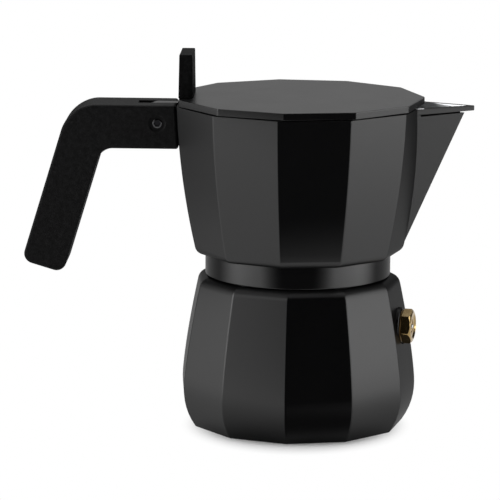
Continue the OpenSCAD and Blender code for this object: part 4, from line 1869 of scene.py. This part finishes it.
    def throat(self) -> Solid:
        """Space inside the lip, drawn in towards its foot so that its sides catch the light.

        Returns:
            The cutter.
        """
        rim, slope = self.stack.rim_z, self.throat_slope
        space = self.lip_plate(self.lip_wall, rim - self.throat_h, rim)
        Bench.edit(space, Pick.CORNERS)
        middle = (rim - self.throat_h / 2) * MM
        Bench.pick(space, lambda vert: vert.co.z < middle)
        centre = Vector((self.spout_root, 0, rim - self.throat_h)) * MM
        bpy.ops.transform.resize(value=(slope, slope, 1), center_override=centre)
        Bench.close()
        above = self.lip_plate(self.lip_wall, rim - 0.02, rim + 1.0)
        return Bench.join(space, Join.WELD, above)

    def land(self) -> Solid:
        """Cut that bares the metal on top of the lip's roots.

        Returns:
            The cutter.
        """
        rim = self.stack.rim_z
        cut = self.lip_plate(0, rim - self.land_h, rim + 1.0)
        near = Bench.block("near", (0, -40, rim - 1), (self.spout_root + self.land_l, 40, rim + 2))
        return Bench.join(cut, Join.KEEP_COMMON, near)

    def recess(self) -> Solid:
        """Recess for the neck, the gasket, the plate and the steam.

        Returns:
            The cutter.
        """
        bore, roof, foot = self.bore_r, self.brewing.roof_at, self.stack.collar_z
        plate_r = self.brewing.gasket_bore + self.plate_seat
        gasket_roof, edge = roof - self.brewing.plate_t, self.gasket_edge
        return Bench.turned(
            "recess",
            [(bore + 0.5, foot - 1.0), (bore + 0.5, foot), (bore, foot + 0.6)]
            + [(bore, gasket_roof - edge), (bore - edge, gasket_roof), (plate_r + 0.3, gasket_roof)]
            + [(plate_r + 0.3, roof), (plate_r - self.plate_seat, roof)]
            + [(self.brewing.column_bore_r + 3, roof + self.brewing.dome_h)],
        )

    def notch(self) -> Solid:
        """Notch in the rim that the lid's arm passes through.

        Returns:
            The cutter.
        """
        back, slot = self.stack.back_x, self.stack.slot_half_w
        return Bench.block(
            "notch",
            (back - 1, -slot, self.stack.handle_top - self.arm_h - 0.3),
            (back + self.wall + 4, slot, self.stack.rim_z + 1),
        )

    def build(self) -> Solid:
        """Builds the vessel, coated outside, bare inside and blasted bare in the spout.

        Returns:
            The piece.
        """
        looks, stack, roof = self.looks, self.stack, self.brewing.roof_at
        coat, alloy, blasted = (looks[n] for n in ("collector_coat", "cast_alloy", "blasted_alloy"))
        shell = Bench.turned("collector_shell", self.side_profile(), stack.sides)
        Bench.round_edges(shell, self.corner_round, meridian)
        outside = [self.lip(), self.ear(-1), self.ear(1)]
        for piece in (shell, *outside):
            Bench.coat(piece, coat)
        collar = Bench.coat(self.collar(), looks["collar_coat"])
        Bench.join(shell, Join.WELD, self.spout(), *outside, collar)
        hole = Bench.rod("column_hole", self.brewing.screw_r, roof - 1, roof + 8)
        pin_hole = Bench.rod("pin_hole", stack.pin_r, -12.0, 12.0, 48)
        Bench.place(pin_hole, stack.hinge_frame)
        Bench.carve(
            shell,
            (self.cavity(), alloy),
            (self.channel(), blasted),
            (self.throat(), blasted),
            (self.land(), blasted),
            (self.recess(), alloy),
            (hole, alloy),
            (self.notch(), coat),
            (pin_hole, coat),
        )
        return Bench.smooth(shell)


# ---------------------------------------------------------------- handle and hinge


@dataclass
class Handle:
    """Bent grip that is slotted for the lid's arm and screwed to the collector's ears."""

    looks: dict[str, Finish]
    stack: Stack
    collector: Collector
    width: float = 22.8
    arm_h: float = 17.4
    leg_t: float = 17.3
    end_gap: float = 0.5
    reach: float = 35.02
    drop: float = 62.9
    lean: float = 16.8
    outer_bend: float = 14.4
    inner_bend: float = 5.8
    end_round: float = 4.0
    edge_round: float = 1.1
    slot_end: float = 0.8
    pocket_gap: float = 0.1
    insert_wall: float = 1.4
    insert_l: float = 3.0
    insert_gap: float = 0.04
    dish_r: float = 3.5
    dish_h: float = 0.5
    screw_inset: float = 0.3
    screw_gap: float = 0.02
    socket_r: float = 1.35
    washer_t: float = 0.4

    def side_corners(self) -> list[Point]:
        """Corners of the side view before rounding, from the collector round the outside.

        Returns:
            The corners.
        """
        stack, top, tilt = self.stack, self.stack.handle_top, math.radians(self.lean)
        outer = (stack.hinge[0] - self.reach, top)
        foot = (outer[0] - self.drop * math.tan(tilt), top - self.drop)
        foot_in = (foot[0] + self.leg_t * math.cos(tilt), foot[1] - self.leg_t * math.sin(tilt))
        under = top - self.arm_h
        inner = (outer[0] + self.leg_t / math.cos(tilt) - self.arm_h * math.tan(tilt), under)
        side = -stack.side_r(under) * stack.flat - self.end_gap
        return [(stack.back_x - self.end_gap, top), outer, foot, foot_in, inner, (side, under)]

    def build(self) -> Solid:
        """Builds the grip: the side view extruded, its bends rounded, its edges broken.

        Returns:
            The piece.
        """
        corners, half, bend = self.side_corners(), self.width / 2, 90 + self.lean
        grip = Bench.slab("grip", [(x, -half, z) for x, z in corners], (0, self.width, 0))
        bends = (
            (corners[1], self.outer_bend, 14, bend),
            (corners[2], self.end_round, 7, 90),
            (corners[3], self.end_round, 7, 90),
            (corners[4], self.inner_bend, 8, bend),
        )
        for (bend_x, bend_z), radius, count, inside in bends:

            def at_bend(a: Vector, b: Vector, angle: float) -> bool:
                """Whether an edge runs across the grip at this bend."""
                return all(abs(p.x - bend_x) < 0.05 and abs(p.z - bend_z) < 0.05 for p in (a, b))

            Bench.round_edges(grip, radius / math.tan(math.radians(inside / 2)), at_bend, count)
        Bench.soften(grip, self.edge_round, 4, 50)
        x, z = self.stack.hinge
        slot, reach = self.stack.slot_half_w, self.stack.eye_r + self.slot_end
        low, high = (x - reach, -slot, z - reach), (x + self.stack.hinge_back, slot, z + reach)
        cutters = [Bench.block("slot", low, high)]
        cutters += [self.collector.ear(side, self.pocket_gap) for side in (-1, 1)]
        pin, bush, dish = self.stack.pin_r, self.stack.pin_r + self.insert_wall, self.dish_r
        for profile in (
            [(pin, -half - 1), (pin, half + 1)],
            [(bush, -half - 1), (bush, -half + self.insert_l)],
            [(dish + 0.25, half + 0.1), (dish, half), (dish - 0.35, half - 0.3)]
            + [(pin + 0.5, half - self.dish_h)],
        ):
            hole = Bench.turned("hole", profile, 64)
            cutters.append(Bench.place(hole, self.stack.hinge_frame))
        Bench.join(grip, Join.CARVE, *cutters)
        return Bench.dress(grip, self.looks["grip_plastic"])

    def build_screw(self) -> Solid:
        """Builds the hinge's screw with its rounded head and hexagon socket; the socket's faces
        take a darker steel as painted shade in the recess.

        Returns:
            The piece.
        """
        top, r = self.width / 2 - self.screw_inset, self.stack.pin_r - self.screw_gap
        screw = Bench.turned(
            "hinge_bolt",
            [(r - 0.3, -top), (r, -top + 0.3), (r, top - 0.5), (r - 0.12, top - 0.18)]
            + [(r - 0.5, top)],
            64,
        )
        socket_r = self.socket_r
        socket = Bench.turned(
            "socket", [(socket_r, top - 1.0), (socket_r, top - 0.1), (socket_r + 0.3, top + 0.2)], 6
        )
        Bench.coat(screw, self.looks["black_steel"])
        # The socket's faces take the darker steel: painted shade in the recess.
        Bench.carve(screw, (socket, self.looks["socket_painted_shade_steel"]))
        return Bench.smooth(Bench.place(screw, self.stack.hinge_frame), 40)

    def build_bush(self) -> Solid:
        """Builds the brass bush in the far cheek.

        Returns:
            The piece.
        """
        inner = self.stack.pin_r + self.insert_gap
        outer = self.stack.pin_r + self.insert_wall - self.insert_gap
        low, high = -self.width / 2 + 0.1, -self.width / 2 + self.insert_l - 0.1
        bush = Bench.turned(
            "hinge_bush",
            [(inner, low + 0.15), (inner + 0.15, low), (outer - 0.2, low), (outer, low + 0.2)]
            + [(outer, high), (inner, high)],
            64,
            ring=True,
        )
        return Bench.dress(bush, self.looks["bush_brass"], 40, self.stack.hinge_frame)

    def build_washers(self) -> Solid:
        """Builds the two thin washers beside the lid's eye as one piece.

        Returns:
            The piece.
        """
        outer = self.stack.eye_r - self.collector.ear_inset - 0.5
        inner, slot = self.stack.pin_r + self.insert_gap, self.stack.slot_half_w
        low, edge = slot - self.washer_t, 0.08
        washers = Bench.turned(
            "hinge_shims",
            [(inner, low), (outer - edge, low), (outer, low + edge), (outer, slot), (inner, slot)],
            64,
            ring=True,
        )
        Bench.apply(washers, "MIRROR", use_axis=(False, False, True), use_mirror_merge=False)
        Bench.edit(washers)
        Bench.close()
        return Bench.dress(washers, self.looks["shim_plastic"], 40, self.stack.hinge_frame)


# ---------------------------------------------------------------- lid and knob


@dataclass
class Lid:
    """Flat faceted lid with the arm and eye of its hinge, and an upright knob."""

    looks: dict[str, Finish]
    stack: Stack
    collector: Collector
    seat_inset: float = 2.3
    seat_gap: float = 0.3
    edge_gap: float = 0.32
    plate_turn: float = 2.5
    rib_h: float = 2.0
    rib_t: float = 1.3
    rib_gap: float = 0.6
    rib_swing: float = 20.0
    rib_gap_l: float = 24.0
    mouth_margin: float = 3.0
    weld: float = 0.05
    arm_w: float = 5.8
    arm_edge: float = 0.3
    pin_gap: float = 0.06
    block_l: float = 3.5
    corner_round: float = 0.35
    side_slope: float = 0.3
    knob_t: float = 5.8
    knob_top_t: float = 5.2
    knob_w: float = 22.8
    knob_h: float = 17.3
    knob_inset: float = 0.25
    knob_round: float = 0.4
    knob_foot_edge: float = 0.15
    screw_pitch: float = 13.0
    screw_r: float = 1.25
    screw_l: float = 5.0
    screw_gap: float = 0.04
    head_r: float = 2.2
    head_h: float = 1.3
    head_gap: float = 0.1
    cross_r: float = 1.3
    cross_half_w: float = 0.28
    cross_h: float = 0.8
    bush_wall: float = 0.7
    bush_l: float = 7.0
    bush_end: float = 0.1

    @property
    def knob_back(self) -> float:
        """Place of the knob's back face at the lid."""
        return -self.stack.lid_r * self.stack.flat + self.knob_inset

    @property
    def screw_frames(self) -> list[Matrix]:
        """Matrices that carry a shape on the pot's axis onto the axes of the knob's two screws."""
        x, y = self.knob_back + self.knob_t / 2, self.screw_pitch / 2
        return [Matrix.Translation(Vector((x, side, 0)) * MM) for side in (-y, y)]

    @property
    def arm_under(self) -> float:
        """Height of the arm's underside."""
        return self.stack.handle_top - self.collector.arm_h

    def build(self) -> Solid:
        """Builds the lid: its top takes a lighter, glossier copy of the coat as painted light, its
        sides the collector's coat as the shaded copy.

        Returns:
            The piece.
        """
        stack, r = self.stack, self.stack.lid_r
        rim, under, top = stack.rim_z, stack.lid_z, stack.lid_top
        low, seat_z = rim + self.edge_gap, rim + self.seat_gap
        lid = Bench.turned(
            "lid_plate",
            [(r - 0.2, low), (r - 0.06, low + 0.06), (r, low + 0.2), (r, top - 0.35)]
            + [(r - 0.1, top - 0.1), (r - 0.35, top)],
            stack.sides,
            self.plate_turn,
        )
        Bench.round_edges(lid, self.corner_round, meridian, 2)
        seat = Bench.rod("seat", r - self.seat_inset, seat_z, under + self.weld, stack.sides)
        Bench.join(lid, Join.WELD, seat, self.rib(), self.arm())
        pin_hole = Bench.rod("hole", stack.pin_r + self.pin_gap, -8.0, 8.0, 64)
        cutters = [Bench.place(pin_hole, stack.hinge_frame)]
        head, shank = self.head_r + self.head_gap, self.screw_r + self.screw_gap
        for frame_at in self.screw_frames:
            sink = Bench.turned(
                "countersink",
                [(head, self.arm_under - 1), (head, under), (shank, under + self.head_h)]
                + [(shank, top + 1)],
                48,
            )
            cutters.append(Bench.place(sink, frame_at))
        Bench.join(lid, Join.CARVE, *cutters)
        # Painted light and shade: the top takes the lit copy of the coat, faces steeper than
        # side_slope the collector's coat as the shaded copy.
        Bench.coat(lid, self.looks["lid_top_lit_coat"])
        lid.data.materials.append(self.looks["collector_coat"])
        for face in lid.data.polygons:
            face.material_index = int(abs(face.normal.z) < self.side_slope)
        return Bench.smooth(lid)

    def rib(self) -> Solid:
        """Rib under the lid that keeps it on the rim, open at the spout and at the hinge.

        Returns:
            The rib.
        """
        stack, root = self.stack, self.collector.spout_root
        rib_r, t = self.collector.inner_r(stack.rim_z) - self.rib_gap, self.rib_t
        foot, under, top = stack.rim_z - self.rib_h, stack.lid_z, stack.rim_z + self.seat_gap
        rib = Bench.turned(
            "rib",
            [(rib_r - 0.3, foot), (rib_r, foot + 0.4), (rib_r, under), (rib_r - t, under)]
            + [(rib_r - t, foot + 0.2), (rib_r - t + 0.2, foot)],
            stack.sides,
            ring=True,
        )
        half, side = self.rib_gap_l / 2, self.collector.spout_half_w + self.mouth_margin
        mouth = Bench.block("mouth", (root - half, -side, foot - 1), (root + half, side, top))
        r, swing_x = stack.lid_r, stack.hinge[0] + self.rib_swing
        swing = Bench.block("swing", (-2 * r, -r, foot - 1), (swing_x, r, top))
        return Bench.join(rib, Join.CARVE, mouth, swing)

    def arm(self) -> Solid:
        """Arm and round eye that carry the lid on the hinge's screw.

        Returns:
            The arm.
        """
        stack, under = self.stack, self.arm_under
        x, z = stack.hinge
        start = math.degrees(math.asin((under - z) / stack.eye_r))
        end = stack.back_x + self.collector.wall + self.block_l
        inside, weld_z = stack.back_x - self.weld, stack.lid_z + self.weld
        outline = arc(x, z, stack.eye_r, 90, 360 + start, 40)
        outline += [(end, under), (end, weld_z), (inside, weld_z), (inside, stack.handle_top)]
        corners = [(px, -self.arm_w / 2, pz) for px, pz in outline]
        return Bench.soften(Bench.slab("arm", corners, (0, self.arm_w, 0)), self.arm_edge, 2, 50)

    def build_knob(self) -> Solid:
        """Builds the knob: a thin block drawn in towards its top, with softened edges.

        Returns:
            The piece.
        """
        back, foot, half = self.knob_back, self.stack.lid_top, self.knob_w / 2
        front, top = back + self.knob_t, foot + self.knob_h
        taper = (self.knob_t - self.knob_top_t) / 2
        side_view = [(back, foot), (front, foot), (front - taper, top), (back + taper, top)]
        knob = Bench.slab("knob_tab", [(x, -half, z) for x, z in side_view], (0, self.knob_w, 0))

        def above(a: Vector, b: Vector, angle: float) -> bool:
            """Whether an edge lies above the knob's foot."""
            return a.z + b.z > 2 * foot + 1

        def at_foot(a: Vector, b: Vector, angle: float) -> bool:
            """Whether an edge runs round the knob's foot."""
            return a.z + b.z < 2 * foot + 0.1 and angle > 60

        Bench.round_edges(knob, self.knob_round, above, 4)
        Bench.round_edges(knob, self.knob_foot_edge, at_foot, 1)
        bush = self.screw_r + self.bush_wall + self.screw_gap
        for frame_at in self.screw_frames:
            hole = Bench.rod("hole", bush, foot - 1, foot + self.bush_l, 48)
            Bench.join(knob, Join.CARVE, Bench.place(hole, frame_at))
        return Bench.dress(knob, self.looks["knob_plastic"])

    def pair(self, piece: Solid) -> Solid:
        """Sets a piece that was made on the axis at both of the knob's screw places.

        Args:
            piece: The piece.

        Returns:
            Both copies as one piece.
        """
        Bench.take(piece)
        bpy.ops.object.duplicate(linked=False)
        other = bpy.context.object
        for obj, frame_at in zip((piece, other), self.screw_frames):
            Bench.place(obj, frame_at)
        Bench.take(piece)
        other.select_set(True)
        bpy.ops.object.join()
        return piece

    def build_screws(self) -> Solid:
        """Builds both countersunk screws with their cross recesses.

        Returns:
            The piece.
        """
        low, top, r = self.stack.lid_z, self.stack.lid_top + self.screw_l, self.screw_r
        screw = Bench.turned(
            "knob_bolts",
            [(self.head_r - 0.12, low), (self.head_r, low + 0.1), (r, low + self.head_h)]
            + [(r, top - 0.4), (r - 0.4, top)],
            48,
        )
        for x, y in ((self.cross_r, self.cross_half_w), (self.cross_half_w, self.cross_r)):
            bar = Bench.block("bar", (-x, -y, low - 1), (x, y, low + self.cross_h))
            Bench.join(screw, Join.CARVE, bar)
        return Bench.dress(self.pair(screw), self.looks["bright_steel"], 30)

    def build_bushes(self) -> Solid:
        """Builds both threaded bushes of the knob.

        Returns:
            The piece.
        """
        top = self.stack.lid_top
        low, high = top + self.bush_end, top + self.bush_l - self.bush_end
        outer, inner = self.screw_r + self.bush_wall, self.screw_r + self.screw_gap
        profile = [(outer, low), (outer, high - 0.2), (outer - 0.2, high)]
        bush = Bench.turned("knob_bushes", profile, 48)
        bore = Bench.rod("bore", inner, low - 1, top + self.screw_l + 0.2, 48)
        Bench.join(bush, Join.CARVE, bore)
        return Bench.dress(self.pair(bush), self.looks["bush_brass"], 40)


# ---------------------------------------------------------------- studio


@dataclass(frozen=True)
class Light:
    """One soft light: where it hangs, how large it is and how bright its face looks."""

    name: str
    at: Corner
    aim: Corner
    size: Point
    radiance: float

    def hang(self) -> None:
        """Adds the light; its long side stays level."""
        data = bpy.data.lights.new(self.name, "AREA")
        data.shape = "RECTANGLE"
        data.size, data.size_y = self.size
        data.energy = self.radiance * math.pi * self.size[0] * self.size[1]
        light = bpy.data.objects.new(self.name, data)
        bpy.context.scene.collection.objects.link(light)
        turn = (Vector(self.aim) - Vector(self.at)).to_track_quat("-Z", "Y").to_matrix().to_4x4()
        light.matrix_world = Matrix.Translation(self.at) @ turn
        light.visible_camera = False


@dataclass
class Studio:
    """Camera, floor, world and soft boxes. Lengths are in metres."""

    camera_at: Corner = (0.02372894, -1.34675710, 0.32071355)
    looks_along: Corner = (-0.03132183, 0.98254492, -0.18336961)
    roll: float = 0.427088
    lens: float = 246.262
    sensor: float = 36.0
    floor_r: float = 9.0
    floor_z: float = -0.0002
    floor_tone: float = 0.88
    floor_glow: float = 0.08
    glow_from: float = 0.0355
    glow_to: float = 0.0545
    glow_shift: float = 0.007
    glow_stretch: float = 1.35
    near_tone: float = 0.02
    back_tone: float = 0.54
    fade_from: float = 0.80
    fade_to: float = 0.985
    lights: tuple[Light, ...] = (
        Light("left_box", (-1.62, -0.58, 0.62), (0.0, -0.10, 0.10), (2.3, 1.3), 1.72),
        Light("left_strip", (-1.46, -0.34, 0.42), (0.0, 0.0, 0.10), (0.5, 1.3), 4.0),
        Light("left_back_box", (-1.30, 0.72, 0.30), (0.0, 0.0, 0.10), (0.9, 0.9), 0.3),
        Light("right_box", (1.66, -0.50, 0.62), (0.0, 0.0, 0.10), (1.9, 1.3), 2.65),
        Light("left_low_box", (-0.66, -0.50, 0.012), (-0.56, -0.50, 1.0), (0.80, 1.2), 1.2),
        Light("left_low_strip", (-0.56, -0.15, 0.014), (-0.46, -0.15, 1.0), (0.75, 0.24), 0.5),
        Light("right_low_box", (0.62, -0.28, 0.012), (0.52, -0.28, 1.0), (0.94, 1.0), 3.5),
        Light("top_box", (0.0, 0.35, 1.9), (0.0, 0.0, 0.0), (1.8, 1.8), 2.6),
    )

    def set_camera(self) -> None:
        """Places the camera."""
        data = bpy.data.cameras.new("camera")
        data.lens, data.sensor_width = self.lens, self.sensor
        camera = bpy.data.objects.new("camera", data)
        bpy.context.scene.collection.objects.link(camera)
        aim = Vector(self.looks_along).to_track_quat("-Z", "Y").to_matrix().to_4x4()
        turn = Matrix.Rotation(math.radians(self.roll), 4, "Z")
        camera.matrix_world = Matrix.Translation(self.camera_at) @ aim @ turn
        bpy.context.scene.camera = camera

    def set_world(self) -> None:
        """Fades the room from pale behind the pot to dark in front of it."""
        world = bpy.data.worlds.new("studio")
        bpy.context.scene.world = world
        world.use_nodes = True
        t = Tree(world.node_tree)
        x, y, _ = t.parts(t.node("ShaderNodeTexCoord").outputs["Generated"])
        level = t.add("ShaderNodeCombineXYZ", None, {"X": x, "Y": y})
        behind = t.parts(t.add("ShaderNodeVectorMath", {"operation": "NORMALIZE"}, {0: level}))[1]
        tone = behind.span(self.fade_from, self.fade_to, self.near_tone, self.back_tone)
        background = t.tree.nodes["Background"]
        seen = t.node("ShaderNodeLightPath").outputs["Is Camera Ray"]
        t.feed(background.inputs["Strength"], tone.most(seen))
        t.feed(background.inputs["Color"], (1, 1, 1, 1))

    def set_floor(self) -> None:
        """Lays the pale floor, which glows softly where it is seen and keeps the shadow."""
        bpy.ops.object.select_all(action="DESELECT")
        bpy.ops.mesh.primitive_circle_add(
            vertices=96, radius=self.floor_r, fill_type="NGON", location=(0, 0, self.floor_z)
        )
        floor = Bench.named("floor")
        g = Graph("pale_floor")
        rays = g.node("ShaderNodeLightPath").outputs
        seen = Wire(g, rays["Is Camera Ray"]).most(rays["Is Glossy Ray"])
        seen = seen.most(rays["Is Transmission Ray"])
        matt = g.add("ShaderNodeBsdfDiffuse", None, {"Color": (self.floor_tone,) * 3 + (1.0,)})
        glow = g.add("ShaderNodeEmission", None, {"Strength": 1.0})
        x, y, _ = g.parts(g.place)
        y = y + self.glow_shift
        far = (x * x * self.glow_stretch + y * y).root()
        share = far.span(self.glow_from, self.glow_to, self.floor_glow)
        Bench.coat(floor, g.mix(seen * share, matt, glow))
        g.tree.nodes.remove(g.shader)

    def build(self) -> None:
        """Builds the whole studio."""
        self.set_camera()
        self.set_world()
        self.set_floor()
        for light in self.lights:
            light.hang()
        bpy.context.scene.view_settings.view_transform = "Standard"


# ---------------------------------------------------------------- the whole pot


def main() -> None:
    """Builds and dresses the pot, sub-assembly by sub-assembly."""
    logging.basicConfig(level=logging.INFO, format="%(name)s: %(message)s")
    Studio().build()
    looks = {coating.name: coating.material() for coating in COATINGS}
    stack = Stack()

    boiler = Boiler(looks, stack)
    fit(boiler.build(), "boiler", "black_enamel", "boiler")
    fit(boiler.build_thread(), "boiler", "black_enamel")
    valve = SafetyValve(looks, boiler)
    fit(valve.build_body(), "boiler", "valve_brass", "valve_body")
    fit(valve.build_washer(), "boiler", "washer_alloy", "valve_washer")
    fit(valve.build_cap(), "boiler", "valve_cap_brass", "valve_cap")
    fit(valve.build_pin(), "valve_pin", "pin_steel", "valve_pin")
    spring = valve.build_spring()
    fit(spring, "boiler", "spring_steel", "valve_spring")
    valve.press(spring)

    brewing = Brewing(looks, stack)
    fit(brewing.build_funnel(), "funnel", "funnel_alloy", "funnel")
    strainer = brewing.build_sheet("funnel_strainer", "strainer_sheet")
    fit(strainer, "funnel", "strainer_alloy", "funnel_strainer")
    fit(brewing.build_gasket(), "seal", "gasket_rubber", "gasket")
    filter_plate = brewing.build_sheet("filter_plate", "filter_sheet")
    fit(filter_plate, "seal", "filter_alloy", "filter_plate")
    fit(brewing.build_column(), "collector", "column_alloy", "riser_column")

    collector = Collector(looks, stack, brewing)
    fit(collector.build(), "collector", "black_enamel_collector", "collector")
    handle = Handle(looks, stack, collector)
    fit(handle.build(), "collector", "handle_plastic", "handle")
    fit(handle.build_screw(), "collector", "hinge_steel", "hinge_screw")
    fit(handle.build_bush(), "collector", "handle_insert_brass", "handle_insert")
    fit(handle.build_washers(), "collector", "washer_plastic", "hinge_washers")

    lid = Lid(looks, stack, collector)
    fit(lid.build(), "lid", "black_enamel_lid", "lid")
    fit(lid.build_knob(), "lid", "knob_plastic", "knob")
    fit(lid.build_screws(), "lid", "knob_screw_steel", "knob_screws")
    fit(lid.build_bushes(), "lid", "knob_insert_brass", "knob_inserts")


if __name__ == "__main__":
    main()
